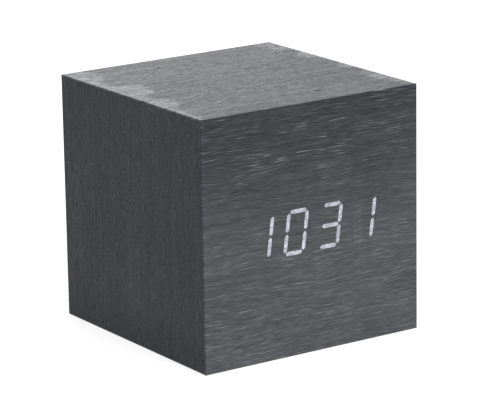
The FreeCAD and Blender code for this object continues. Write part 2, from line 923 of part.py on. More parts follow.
# Key board, resting on the inside of the back panel
key_front = f"({room_back} - circuit)"
key_board = keep(new_body("key_board"))
sheet_drawing = sketch(key_board, "XZ_Plane", key_front)
rectangle(
    sheet_drawing,
    "-key_width/2",
    "key_middle - key_height/2",
    "key_width/2",
    "key_middle + key_height/2",
)
for spot_x, spot_z in key_corners:
    circle(sheet_drawing, spot_x, spot_z, "pan_shank + shank_room")
pad(key_board, sheet_drawing, "circuit")
key_screws = []
for number, (spot_x, spot_z) in enumerate(key_corners, start=1):
    key_screws.append(screw(f"key_screw_{number}", (spot_x, key_front, spot_z), "+Y", *pan_sizes))
keep(together("key_board_screws", key_screws))

# Three push switches: base, sprung dome, plunger and metal cover, each under its cap
cover_under = f"({room_back} + switch_height)"
cover_top = f"({cover_under} + switch_cover)"
plunger_top = f"({cover_top} + plunger_rise)"
cap_base = plunger_top
cap_top = f"({back} + cap_proud)"


def switch_square(name, level, thick, hole, hole_depth):
    """Square plates or bases of the three switches, each with its square hole."""
    piece = keep(new_body(name))
    squares = sketch(piece, "XZ_Plane", level)
    for spot_x in key_spots.values():
        square(squares, spot_x, key_row, "switch_size")
    pad(piece, squares, thick)
    mouths = sketch(piece, "XZ_Plane", f"{level} + {thick}")
    for spot_x in key_spots.values():
        square(mouths, spot_x, key_row, hole)
    pocket(piece, mouths, hole_depth, -1)


switch_square("switch_bases", room_back, "switch_height", "well_side", "well_depth")
switch_square("switch_covers", cover_under, "switch_cover", "plunger_side + 2*cap_room", "switch_cover")
well_floor = f"({cover_under} - well_depth)"
domes = keep(new_body("switch_domes"))
snipped = sketch(domes, "XZ_Plane", well_floor)
dome_half = "(well_side/2 - cap_room)"
dome_flat = f"({dome_half} - dome_snip)"
for spot_x in key_spots.values():
    corners = []
    for sense_x, sense_z in ((1, 1), (-1, 1), (-1, -1), (1, -1)):
        ends = [(dome_half, dome_flat), (dome_flat, dome_half)]
        for across, up in ends if sense_x * sense_z > 0 else reversed(ends):
            corners.append((f"{spot_x} + {sense_x}*{across}", f"{key_row} + {sense_z}*{up}"))
    outline(snipped, corners)
pad(domes, snipped, "dome_thick")
for name, spot_x in key_spots.items():
    plunger = keep(new_body(f"{name}_plunger"))
    foot = sketch(plunger, "XZ_Plane", f"{cover_under} - plunger_below")
    square(foot, spot_x, key_row, "plunger_foot")
    pad(plunger, foot, "plunger_below - plunger_foot_gap")
    stem = sketch(plunger, "XZ_Plane", f"{cover_under} - plunger_foot_gap")
    square(stem, spot_x, key_row, "plunger_side")
    pad(plunger, stem, "plunger_foot_gap + switch_cover + plunger_rise")
    button = keep(new_body(f"{name}_button"))
    flange = sketch(button, "XZ_Plane", cap_base)
    square(flange, spot_x, key_row, "cap_flange")
    pad(button, flange, "cap_flange_thick")
    cap = sketch(button, "XZ_Plane", f"{cap_base} + cap_flange_thick")
    circle(cap, spot_x, key_row, "cap_radius")
    pad(button, cap, f"{cap_top} - {cap_base} - cap_flange_thick")

# Upright power inlet: a folded shell round a contact tongue
inlet_top = f"({room_back} + inlet_length)"
inlet = keep(new_body("power_inlet"))
shell = sketch(inlet, "XZ_Plane", room_back)


def draw_inlet(drawing, inset):
    """Draw the inlet's outline, narrower at its lower edge."""
    outline(
        drawing,
        [
            (f"-inlet_width/2 + inlet_slope + {inset}", f"{inlet_z} - inlet_height/2 + {inset}"),
            (f"inlet_width/2 - inlet_slope - {inset}", f"{inlet_z} - inlet_height/2 + {inset}"),
            (f"inlet_width/2 - {inset}", inlet_z),
            (f"inlet_width/2 - {inset}", f"{inlet_z} + inlet_height/2 - {inset}"),
            (f"-inlet_width/2 + {inset}", f"{inlet_z} + inlet_height/2 - {inset}"),
            (f"-inlet_width/2 + {inset}", inlet_z),
        ],
    )


draw_inlet(shell, "0")
pad(inlet, shell, "inlet_length")
mouth = sketch(inlet, "XZ_Plane", inlet_top)
draw_inlet(mouth, "inlet_wall")
pocket(inlet, mouth, "inlet_mouth", -1)
inlet_floor = f"({inlet_top} - inlet_mouth)"
keep(
    block(
        "inlet_tongue",
        ("-tongue_width/2", inlet_floor, f"{inlet_z} - tongue_height/2"),
        ("tongue_width/2", f"{inlet_top} - inlet_wall", f"{inlet_z} + tongue_height/2"),
    )
)

# Microphone capsule behind its hole in the back panel
keep(
    turned(
        "microphone",
        [
            ("0", "0"),
            ("microphone_radius", "0"),
            ("microphone_radius", "microphone_length"),
            ("0", "microphone_length"),
        ],
        ("microphone_x", room_back, microphone_z),
        "+Y",
    )
)

# Ribbon cable with a plug at each end, in a socket on each board
ribbon_z = f"({main_top} - socket_height)"


def socket(name, board_face, sense):
    """Open-topped plug socket standing on a circuit board."""
    piece = keep(new_body(name))
    base = sketch(piece, "XZ_Plane", board_face)
    rectangle(
        base,
        "socket_x - socket_width/2",
        f"{ribbon_z} - socket_height/2",
        "socket_x + socket_width/2",
        f"{ribbon_z} + socket_height/2",
    )
    pad(piece, base, "socket_length", sense)
    mouth = sketch(piece, "XZ_Plane", f"{board_face} + {sense}*socket_length")
    rectangle(
        mouth,
        "socket_x - plug_width/2 - plug_room",
        f"{ribbon_z} - plug_height/2 - plug_room",
        "socket_x + plug_width/2 + plug_room",
        f"{ribbon_z} + plug_height/2 + plug_room",
    )
    pocket(piece, mouth, "socket_length - socket_floor", -sense)


socket("main_socket", main_back, 1)
socket("key_socket", key_front, -1)
plugs = []
plug_ends = []
for name, board_face, sense in (("main_plug", main_back, 1), ("key_plug", key_front, -1)):
    seat = f"({board_face} + {sense}*socket_floor)"
    far = f"({board_face} + {sense}*(socket_floor + plug_length))"
    plug_ends.append(far)
    near_end, far_end = sorted((seat, far), key=amount)
    plugs.append(
        block(
            name,
            ("socket_x - plug_width/2", near_end, f"{ribbon_z} - plug_height/2"),
            ("socket_x + plug_width/2", far_end, f"{ribbon_z} + plug_height/2"),
        )
    )
keep(together("ribbon_plugs", plugs))


def rounded_path(points, radius_of):
    """Join straight runs by tangent arcs; give the edges and the arcs' radii."""
    edges = []
    radii = []
    start = points[0]
    for number in range(1, len(points) - 1):
        corner = points[number]
        arriving = corner - points[number - 1]
        leaving = points[number + 1] - corner
        turn = arriving.getAngle(leaving)
        radius = radius_of(arriving.Length, leaving.Length, turn)
        cut_back = radius * math.tan(turn / 2)
        into = FreeCAD.Vector(arriving).normalize()
        out = FreeCAD.Vector(leaving).normalize()
        entry = corner - into * cut_back
        leave = corner + out * cut_back
        inward = (out - into).normalize()
        middle = corner + inward * (radius / math.cos(turn / 2) - radius)
        edges.append(Part.LineSegment(start, entry).toShape())
        edges.append(Part.Arc(entry, middle, leave).toShape())
        radii.append(radius)
        start = leave
    edges.append(Part.LineSegment(start, points[-1]).toShape())
    return edges, radii


ribbon_x = amount("socket_x - ribbon_width/2")
ribbon_low = amount(ribbon_z)
ribbon_high = amount(f"{ribbon_z} + ribbon_rise")
ribbon_start = amount(plug_ends[0])
ribbon_end = amount(plug_ends[1])
ribbon_third = (ribbon_end - ribbon_start) / 3
ribbon_points = [
    FreeCAD.Vector(ribbon_x, ribbon_start, ribbon_low),
    FreeCAD.Vector(ribbon_x, ribbon_start + ribbon_third * 0.5, ribbon_low),
    FreeCAD.Vector(ribbon_x, ribbon_start + ribbon_third, ribbon_high),
    FreeCAD.Vector(ribbon_x, ribbon_end - ribbon_third, ribbon_high),
    FreeCAD.Vector(ribbon_x, ribbon_end - ribbon_third * 0.5, ribbon_low),
    FreeCAD.Vector(ribbon_x, ribbon_end, ribbon_low),
]
ribbon_edges, ribbon_radii = rounded_path(ribbon_points, lambda before, after, turn: amount("ribbon_bend"))
ribbon_line = Part.Wire(ribbon_edges)
flat = Part.Wire(
    Part.makePolygon(
        [
            ribbon_points[0] + FreeCAD.Vector(0, 0, -amount("ribbon_thick/2")),
            ribbon_points[0] + FreeCAD.Vector(amount("ribbon_width"), 0, -amount("ribbon_thick/2")),
            ribbon_points[0] + FreeCAD.Vector(amount("ribbon_width"), 0, amount("ribbon_thick/2")),
            ribbon_points[0] + FreeCAD.Vector(0, 0, amount("ribbon_thick/2")),
            ribbon_points[0] + FreeCAD.Vector(0, 0, -amount("ribbon_thick/2")),
        ]
    )
)
ribbon = doc.addObject("Part::Feature", "ribbon_cable")
ribbon.Label = "ribbon_cable"
ribbon.Shape = ribbon_line.makePipeShell([flat], True, False)
ribbon.Placement = FreeCAD.Placement()
keep(ribbon)
ribbon_section = amount("ribbon_width*ribbon_thick")
print("ribbon volume over section by length", ribbon.Shape.Volume / (ribbon_section * ribbon_line.Length))

# Battery tray: an inverted tub whose flange lies in a rebate of the bottom board
door_end = f"({recess_end} - door_gap)"
door_side = f"({recess_side} - door_gap)"
door_inner = "(flange_set + door_thick)"
cell_z = f"({door_inner} + door_room + cell_radius)"
tray_roof = f"({cell_z} + cell_radius + cell_room)"
tray_top = f"({tray_roof} + tray_wall)"
tab_top = f"({tray_top} + tab_reach)"
slot_end = f"({recess_end} + tongue_reach + tongue_room)"
leaf_outer = f"({door_end} - leaf_inset)"
leaf_inner = f"({leaf_outer} - leaf_thick)"
nib_end = f"({leaf_outer} + nib_reach)"

tray = keep(new_body("battery_tray"))
rim = sketch(tray, "XY_Plane", "flange_set")
rectangle(rim, f"-{flange_end}", f"-{flange_side}", flange_end, flange_side)
pad(tray, rim, "flange_thick")


def is_flange_corner(point):
    on_end = abs(abs(point.x) - amount(flange_end)) < near
    on_side = abs(abs(point.y) - amount(flange_side)) < near
    return on_end and on_side


round_edges(tray, "flange_corner", is_flange_corner)
tub = sketch(tray, "XY_Plane", flange_top)
rectangle(
    tub,
    f"-{tray_end} - tray_wall",
    f"-{tray_side} - tray_wall",
    f"{tray_end} + tray_wall",
    f"{tray_side} + tray_wall",
)
pad(tray, tub, f"{tray_top} - {flange_top}")
cavity = sketch(tray, "XY_Plane", "flange_set")
rectangle(cavity, f"-{tray_end}", f"-{tray_side}", tray_end, tray_side)
pocket(tray, cavity, f"{tray_roof} - flange_set", 1)
recess = sketch(tray, "XY_Plane", "flange_set")
rectangle(recess, f"-{recess_end}", f"-{recess_side}", recess_end, recess_side)
pocket(tray, recess, "door_thick", 1)
slots = sketch(tray, "XY_Plane", flange_top)
for sense in (-1, 1):
    slot_half = "(hinge_tongue/2 + tongue_room)"
    rectangle(
        slots,
        f"-{slot_end}",
        f"{sense}*tongue_y - {slot_half}",
        f"-{recess_end} + tongue_swing",
        f"{sense}*tongue_y + {slot_half}",
    )
pocket(tray, slots, "flange_thick - lip", -1)
catch = sketch(tray, "XY_Plane", flange_top)
rectangle(
    catch,
    f"{leaf_inner} - 2*nib_room",
    "-leaf_width/2 - tongue_room",
    f"{nib_end} + nib_room",
    "leaf_width/2 + tongue_room",
)
pocket(tray, catch, "flange_thick - door_thick", -1)
scoop = sketch(tray, "XY_Plane", "flange_set")
circle(scoop, recess_end, "0", "scoop_radius")
pocket(tray, scoop, "scoop_depth", 1)
tabs = sketch(tray, "XY_Plane", tray_top)
for sense in (-1, 1):
    slot_ends = (f"{sense}*{tray_end}", f"{sense}*({tray_end} - contact - tab_room)")
    near_x, far_x = sorted(slot_ends, key=amount)
    slot_half = "(tab_width/2 + tab_room)"
    row_y = f"{sense}*{cell_pitch}"
    rectangle(tabs, near_x, f"{row_y} - {slot_half}", far_x, f"{row_y} + {slot_half}")
pocket(tray, tabs, "tray_wall", -1)
ribs = sketch(tray, "XY_Plane", tray_roof)
for sense in (-1, 1):
    rectangle(
        ribs,
        f"-{tray_end} + rib_inset",
        f"{sense}*{cell_pitch}/2 - rib_width/2",
        f"{tray_end} - rib_inset",
        f"{sense}*{cell_pitch}/2 + rib_width/2",
    )
pad(tray, ribs, "rib_drop", -1)
tray_corners = []
for sense in (-1, 1):
    spot_x = f"({sense}*({flange_end} - tray_screw_inset_x))"
    spot_y = f"({sense}*({flange_side} - tray_screw_inset_y))"
    tray_corners.append((spot_x, spot_y))
sinks = sketch(tray, "XY_Plane", "flange_set")
for spot_x, spot_y in tray_corners:
    circle(sinks, spot_x, spot_y, "tray_shank + shank_room")
doc.recompute()
solid_volume = tray.Shape.Volume
sunk = tray.newObject("PartDesign::Hole", "battery_tray_sinks")
sunk.Profile = sinks
doc.recompute()
sunk.DepthType = "Dimension"
sunk.setExpression("Depth", bound("flange_thick"))
sunk.DrillPoint = "Flat"
sunk.Threaded = False
sunk.setExpression("Diameter", bound("2*(tray_shank + shank_room)"))
sunk.HoleCutType = "Countersink"
sunk.HoleCutCustomValues = True
sunk.setExpression("HoleCutDiameter", bound("2*(tray_head + shank_room)"))
sunk.HoleCutCountersinkAngle = 90
sunk.Reversed = True
doc.recompute()
if not tray.Shape.Volume < solid_volume:
    raise RuntimeError("the flange's screw holes cut nothing")

# Rebate and opening for the tray in the bottom board
well = sketch(bottom_board, "XY_Plane", "veneer")
rectangle(well, f"-{rebate_side}", f"-{rebate_rise}", rebate_side, rebate_rise)
pocket(bottom_board, well, f"{flange_top} - veneer", 1)
opening = sketch(bottom_board, "XY_Plane", "veneer")
opening_end = f"({slot_end} + tray_gap)"
opening_side = f"({tray_side} + tray_wall + tray_gap)"
rectangle(opening, f"-{opening_end}", f"-{opening_side}", opening_end, opening_side)
pocket(bottom_board, opening, "board", 1)
tray_screws = []
for number, (spot_x, spot_y) in enumerate(tray_corners, start=1):
    profile = [
        ("0", "0"),
        ("tray_head", "0"),
        ("tray_shank", "tray_head - tray_shank"),
        ("tray_shank", "tray_screw"),
        ("0", "tray_screw"),
    ]
    tray_screws.append(turned(f"tray_screw_{number}", profile, (spot_x, spot_y, "flange_set"), "+Z"))
keep(together("battery_tray_screws", tray_screws))

# Battery door: a plate with two tongues at one end and a snap leaf at the other
door = keep(new_body("battery_door"))
plate = sketch(door, "XY_Plane", "flange_set")
rectangle(plate, f"-{door_end}", f"-{door_side}", door_end, door_side)
pad(door, plate, "door_thick")
tongues = sketch(door, "XY_Plane", door_inner)
for sense in (-1, 1):
    rectangle(
        tongues,
        f"-{door_end} - tongue_reach",
        f"{sense}*tongue_y - hinge_tongue/2",
        f"-{door_end} + tongue_reach",
        f"{sense}*tongue_y + hinge_tongue/2",
    )
pad(door, tongues, "tongue_thick", -1)
leaf = sketch(door, "XZ_Plane", "-leaf_width/2")
nib_base = f"({flange_top} + nib_lift)"
outline(
    leaf,
    [
        (leaf_inner, f"{door_inner} - tongue_thick"),
        (leaf_outer, f"{door_inner} - tongue_thick"),
        (leaf_outer, nib_base),
        (nib_end, nib_base),
        (leaf_outer, f"{nib_base} + nib_height"),
        (leaf_inner, f"{nib_base} + nib_height"),
    ],
)
pad(door, leaf, "leaf_width")
grips = sketch(door, "XY_Plane", "flange_set")
for number in range(3):
    start = f"({door_end} - {number + 2}*grip_pitch)"
    rectangle(grips, start, "-leaf_width/2", f"{start} + grip_width", "leaf_width/2")
pocket(door, grips, "grip_depth", 1)

# Three cells side by side, head to tail
cell_rows = [(f"(-{cell_pitch})", -1), ("0", 1), (cell_pitch, -1)]
for number, (row_y, sense) in enumerate(cell_rows, start=1):
    start = f"({sense}*({tray_end} - contact - cell_slack/2 - cell_length))"
    keep(
        turned(
            f"cell_{number}",
            [
                ("0", "0"),
                ("cell_radius", "0"),
                ("cell_radius", "cell_length - nub_length"),
                ("nub_radius", "cell_length - nub_length"),
                ("nub_radius", "cell_length"),
                ("0", "cell_length"),
            ],
            (start, row_y, cell_z),
            "+X" if sense > 0 else "-X",
        )
    )

# Contact plates against the tray's end walls, two of them with a tab for a lead


def contact_plate(name, sense, low_y, high_y, tab_y=None):
    """Sprung steel plate on the end wall at one side; a tab rises through the tray's roof."""
    low_z = f"{cell_z} - contact_height/2"
    high_z = f"{cell_z} + contact_height/2"
    corners = [(low_y, high_z), (low_y, low_z), (high_y, low_z), (high_y, high_z)]
    if tab_y:
        for across, up in (
            (f"{tab_y} + tab_width/2", high_z),
            (f"{tab_y} + tab_width/2", tab_top),
            (f"{tab_y} - tab_width/2", tab_top),
            (f"{tab_y} - tab_width/2", high_z),
        ):
            corners.append((across, up))
    piece = new_body(name)
    face = sketch(piece, "YZ_Plane", f"{sense}*{tray_end}")
    outline(face, corners)
    pad(piece, face, "contact", -sense)
    return piece


half_plate = "contact_width/2"
low_row = f"(-{cell_pitch})"
keep(
    contact_plate(
        "positive_terminal", -1, f"{low_row} - {half_plate}", f"{low_row} + {half_plate}", low_row
    )
)
keep(
    contact_plate(
        "negative_terminal", 1, f"{cell_pitch} - {half_plate}", f"{cell_pitch} + {half_plate}", cell_pitch
    )
)
bridges = [
    contact_plate("left_bridge", -1, f"-{half_plate}", f"{cell_pitch} + {half_plate}"),
    contact_plate("right_bridge", 1, f"{low_row} - {half_plate}", half_plate),
]
keep(together("bridge_contacts", bridges))


def biarc(start, start_way, end, end_way):
    """Two arcs that leave one point and reach another along given directions."""
    span = end - start
    both = start_way + end_way
    square = 2 * start_way.dot(end_way) - 2
    linear = -2 * span.dot(both)
    constant = span.dot(span)
    reach_out = (-linear - math.sqrt(linear * linear - 4 * square * constant)) / (2 * square)
    first_corner = start + start_way * reach_out
    second_corner = end - end_way * reach_out
    joint = (first_corner + second_corner) * 0.5
    arcs = []
    for begin, corner, finish in ((start, first_corner, joint), (joint, second_corner, end)):
        turn = (corner - begin).getAngle(finish - corner)
        radius = reach_out / math.tan(turn / 2)
        inward = ((begin + finish) * 0.5 - corner).normalize()
        middle = corner + inward * (radius / math.cos(turn / 2) - radius)
        arcs.append(Part.Arc(begin, middle, finish).toShape())
    return arcs


def facetted_ring(centre, normal, radius, sides):
    """Closed section of a thin wire, with a few flats in place of its round."""
    first = normal.cross(FreeCAD.Vector(1, 0, 0))
    if first.Length < near:
        first = normal.cross(FreeCAD.Vector(0, 1, 0))
    first = first.normalize()
    second = normal.cross(first).normalize()
    corners = []
    for number in range(sides + 1):
        angle = 2 * math.pi * (number + 0.5) / sides
        corners.append(centre + first * (radius * math.cos(angle)) + second * (radius * math.sin(angle)))
    return Part.Wire(Part.makePolygon(corners))


def conical_spring(name, spot, toward, flats=4, samples=400, skipped_turns=0.6):
    """Open conical spring, wide coil on its plate, wound in quarter turns."""
    turns_count = amount("coil_turns")
    wire = amount("wire_radius")
    wide = amount("coil_wide")
    narrow = amount("coil_narrow")
    rise = amount("spring_room") - 3 * wire

    def point(turn):
        share = turn / turns_count
        radius = wide + (narrow - wide) * share
        angle = 2 * math.pi * turn
        return FreeCAD.Vector(radius * math.cos(angle), radius * math.sin(angle), wire + rise * share)

    def way(turn):
        step = 1e-5
        return (point(turn + step) - point(turn - step)).normalize()

    edges = []
    quarters = int(round(turns_count * 4))
    for quarter in range(quarters):
        begin = turns_count * quarter / quarters
        finish = turns_count * (quarter + 1) / quarters
        edges += biarc(point(begin), way(begin), point(finish), way(finish))
    path = Part.Wire(edges)
    feature = doc.addObject("Part::Feature", name)
    feature.Label = name
    feature.Shape = path.makePipeShell([facetted_ring(point(0), way(0), wire, flats)], True, False)
    place(feature, spot, toward)
    spots = [point(turns_count * number / samples) for number in range(samples + 1)]
    skipped = int(skipped_turns * samples / turns_count)
    least = min(
        spots[late].distanceToPoint(spots[early])
        for late in range(samples + 1)
        for early in range(late - skipped)
    )
    print(name, "least gap between its turns", round(least - 2 * wire, 3))
    return feature


springs = [
    conical_spring("spring_1", (f"{tray_end} - contact", low_row, cell_z), "-X"),
    conical_spring("spring_2", (f"-{tray_end} + contact", "0", cell_z), "+X"),
    conical_spring("spring_3", (f"{tray_end} - contact", cell_pitch, cell_z), "-X"),
]
keep(together("contact_springs", springs))


def lead(name, points, flats=6, run_share=0.45):
    """Round insulated wire along straight runs joined by arcs."""
    spots = [FreeCAD.Vector(*(amount(text) for text in point)) for point in points]

    def radius_of(before, after, turn):
        return run_share * min(before, after) / math.tan(turn / 2)

    edges, radii = rounded_path(spots, radius_of)
    path = Part.Wire(edges)
    ring = facetted_ring(spots[0], (spots[1] - spots[0]).normalize(), amount("lead_radius"), flats)
    feature = doc.addObject("Part::Feature", name)
    feature.Label = name
    feature.Shape = path.makePipeShell([ring], True, False)
    feature.Placement = FreeCAD.Placement()
    section = Part.Face(ring).Area
    print(name, "radii", [round(value, 2) for value in radii], "length", round(path.Length, 2))
    print(name, "volume over section by length", feature.Shape.Volume / (section * path.Length))
    return keep(feature)


# Each lead rises from its tab and turns forward to the main board
solder_z = f"({main_base} + solder_rise)"
for name, sense in (("red_lead", -1), ("black_lead", 1)):
    lead_x = f"{sense}*({tray_end} - contact/2)"
    start_y = f"{sense}*{cell_pitch}"
    end_x = f"(display_x + {sense}*({main_side} - solder_inset))"
    lead(
        name,
        [
            (lead_x, start_y, tab_top),
            (lead_x, start_y, f"{tab_top} + lead_rise"),
            (lead_x, f"{start_y} - lead_forward", solder_z),
            (f"({lead_x} + {end_x})/2", f"({start_y} + {main_back})/2", f"{solder_z} + lead_crest"),
            (end_x, f"{main_back} + lead_run", solder_z),
            (end_x, main_back, solder_z),
        ],
    )

doc.recompute()
for item in doc.Objects:
    if "Invalid" in item.State or "Error" in item.State:
        raise RuntimeError(f"{item.Name} is {item.State}")
for piece in nodes:
    if piece.Shape.isNull() or not piece.Shape.isValid():
        raise RuntimeError(f"{piece.Label} has no valid shape")

os.makedirs("parts", exist_ok=True)
for piece in nodes:
    piece.Shape.exportStep(f"parts/{piece.Label}.step")
print(len(nodes), "nodes written")
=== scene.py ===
import math

import bmesh
import bpy
from mathutils import Matrix, Vector


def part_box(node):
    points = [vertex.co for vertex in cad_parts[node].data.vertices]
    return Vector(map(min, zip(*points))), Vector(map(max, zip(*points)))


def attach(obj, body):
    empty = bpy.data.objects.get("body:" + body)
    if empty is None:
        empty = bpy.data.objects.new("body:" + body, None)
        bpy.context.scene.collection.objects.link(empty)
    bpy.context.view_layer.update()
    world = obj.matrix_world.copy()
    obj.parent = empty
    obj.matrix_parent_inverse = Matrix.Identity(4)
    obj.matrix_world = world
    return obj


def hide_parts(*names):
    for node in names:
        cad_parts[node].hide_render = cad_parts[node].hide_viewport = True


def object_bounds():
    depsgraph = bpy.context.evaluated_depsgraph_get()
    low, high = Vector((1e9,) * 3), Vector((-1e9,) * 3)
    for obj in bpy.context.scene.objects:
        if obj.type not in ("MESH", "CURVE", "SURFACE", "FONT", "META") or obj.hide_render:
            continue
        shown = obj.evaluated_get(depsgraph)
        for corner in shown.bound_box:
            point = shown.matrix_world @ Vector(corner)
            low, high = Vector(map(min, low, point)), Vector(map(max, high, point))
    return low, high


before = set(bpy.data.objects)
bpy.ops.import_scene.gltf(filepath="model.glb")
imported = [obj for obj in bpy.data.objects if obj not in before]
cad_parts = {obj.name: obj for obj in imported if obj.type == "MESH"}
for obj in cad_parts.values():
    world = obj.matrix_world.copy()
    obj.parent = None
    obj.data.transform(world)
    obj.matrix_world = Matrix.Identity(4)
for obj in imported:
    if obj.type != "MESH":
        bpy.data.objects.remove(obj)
cad_low, cad_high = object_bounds()
mm = 0.001

# Boards of the case
# Five boards of medium-density fibreboard are mitred and glued into a cube. Their edges and the
# back panel are stained black, and the stain sinks unevenly into the pressed fibres.


def linear(shade):
    """Turn an sRGB hex value into linear red, green and blue with alpha."""
    channels = [int(shade[start : start + 2], 16) / 255 for start in (1, 3, 5)]
    curve = [c / 12.92 if c <= 0.04045 else ((c + 0.055) / 1.055) ** 2.4 for c in channels]
    return (*curve, 1.0)


def new_material(name):
    """Start an empty material and give it with its node tree."""
    material = bpy.data.materials.new(name)
    material.use_nodes = True
    material.node_tree.nodes.clear()
    return material, material.node_tree


def add(tree, kind, inputs=(), stops=(), **settings):
    """Add a node with its settings, links and colour stops.

    Inputs go by order or by name. Each is a value, a socket or a node, whose first output is meant.
    """
    node = tree.nodes.new(f"ShaderNode{kind}")
    for name, value in settings.items():
        setattr(node, name, value)
    by_socket = inputs if isinstance(inputs, dict) else dict(enumerate(inputs))
    for socket, value in by_socket.items():
        source = value.outputs[0] if isinstance(value, bpy.types.Node) else value
        if isinstance(source, bpy.types.NodeSocket):
            tree.links.new(source, node.inputs[socket])
        else:
            node.inputs[socket].default_value = source
    for _ in stops[2:]:
        node.color_ramp.elements.new(0.5)
    for number, (place, shade) in enumerate(stops):
        node.color_ramp.elements[number].position = place
        node.color_ramp.elements[number].color = linear(shade)
    return node


def in_millimetres(tree, stretch=(1.0, 1.0, 1.0)):
    """Give the place on the piece in millimetres, each axis divided by a length."""
    place = add(tree, "TexCoord").outputs["Object"]
    factors = [1.0 / (mm * length) for length in stretch]
    return add(tree, "VectorMath", [place, factors], operation="MULTIPLY")


def dress(material, *nodes):
    """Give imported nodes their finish."""
    for name in nodes:
        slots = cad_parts[name].data.materials
        slots.clear()
        slots.append(material)


def stained_fibreboard():
    """Fibreboard with black stain: dull, speckled, lighter where fibres took less stain."""
    material, tree = new_material("stained fibreboard")
    # The real fibres are a tenth of a millimetre thick, so they are drawn coarser
    fine = in_millimetres(tree, (0.5, 0.5, 0.5))
    wide = in_millimetres(tree, (9.0, 9.0, 9.0))
    fibres = add(tree, "TexNoise", {"Vector": fine, "Scale": 1.0, "Detail": 4.0, "Roughness": 0.7})
    clouds = add(tree, "TexNoise", {"Vector": wide, "Scale": 1.0})
    tone = add(tree, "Math", [clouds, 0.5, fibres], operation="MULTIPLY_ADD")
    shades = [(0.45, "#1B1B1C"), (0.75, "#2E2E30"), (0.98, "#454548")]
    finish = {
        "Base Color": add(tree, "ValToRGB", [tone], shades),
        "Roughness": add(tree, "MapRange", [fibres, 0.3, 0.7, 0.7, 0.9], interpolation_type="SMOOTHSTEP"),
        "Specular IOR Level": 0.25,
        "Normal": add(tree, "Bump", {"Height": fibres, "Distance": 0.08 * mm}),
    }
    add(tree, "OutputMaterial", [add(tree, "BsdfPrincipled", finish)])
    return material


board_stain = stained_fibreboard()
dress(board_stain, "front_board", "top_board", "bottom_board", "left_board", "right_board", "back_board")

# Glue blocks
# Four short sticks of sawn softwood are glued into the back corners of the case. The back panel is
# screwed to them.


def sawn_softwood():
    """Pale sawn spruce: soft growth rings along the stick and a fuzzy surface."""
    material, tree = new_material("sawn softwood")
    lengthwise = in_millimetres(tree, (0.9, 14.0, 0.9))
    sawn = in_millimetres(tree, (0.2, 1.5, 0.2))
    rings = add(tree, "TexNoise", {"Vector": lengthwise, "Scale": 1.0, "Detail": 3.0})
    fuzz = add(tree, "TexNoise", {"Vector": sawn, "Scale": 1.0})
    shades = [(0.35, "#A9814F"), (0.55, "#D3B181"), (0.7, "#E0C79C")]
    finish = {
        "Base Color": add(tree, "ValToRGB", [rings], shades),
        "Roughness": 0.8,
        "Normal": add(tree, "Bump", {"Height": fuzz, "Distance": 0.1 * mm}),
    }
    add(tree, "OutputMaterial", [add(tree, "BsdfPrincipled", finish)])
    return material


dress(sawn_softwood(), "corner_blocks")

# Veneers
# Six sheets of open-pored veneer, half a millimetre thick, are glued over the boards and stained
# black. The stain leaves the ends of the pores pale. The top's edges are paler, partly rubbed by
# handling and partly a painted sheen, and the foot of the left sheet has painted shade.

depth = (cad_high.y - cad_low.y) / mm
left_x = cad_low.x / mm
stain = [(0.0, "#303134"), (0.3, "#47484C"), (0.5, "#55565A"), (0.72, "#65666B"), (1.0, "#97989D")]
cloud_weight = 0.25
pale_pore_weight = 0.14
satin = 0.14


def grain_place(tree, run, across, sheet, wander):
    """Give the place along and across the grain as it wanders on one sheet, and the plain place."""
    place = add(tree, "SeparateXYZ", [in_millimetres(tree)])
    along = place.outputs[run]
    beside = place.outputs[across]
    # Each sheet is sliced from another place in the same figure
    slice_place = 10.0 * sheet
    wander_long = 42.0
    wander_wide = 15.0
    lean = 0.012
    flat = add(tree, "CombineXYZ", [along, beside, slice_place])
    slow = add(tree, "VectorMath", [flat, (1 / wander_long, 1 / wander_wide, 1)], operation="MULTIPLY")
    drift = add(tree, "TexNoise", {"Vector": slow, "Scale": 1.0, "Detail": 1.0})
    moved = beside
    for shift, weight in ((drift, wander), (along, lean)):
        moved = add(tree, "Math", [shift, weight, moved], operation="MULTIPLY_ADD")
    return add(tree, "CombineXYZ", [along, moved, slice_place]), place


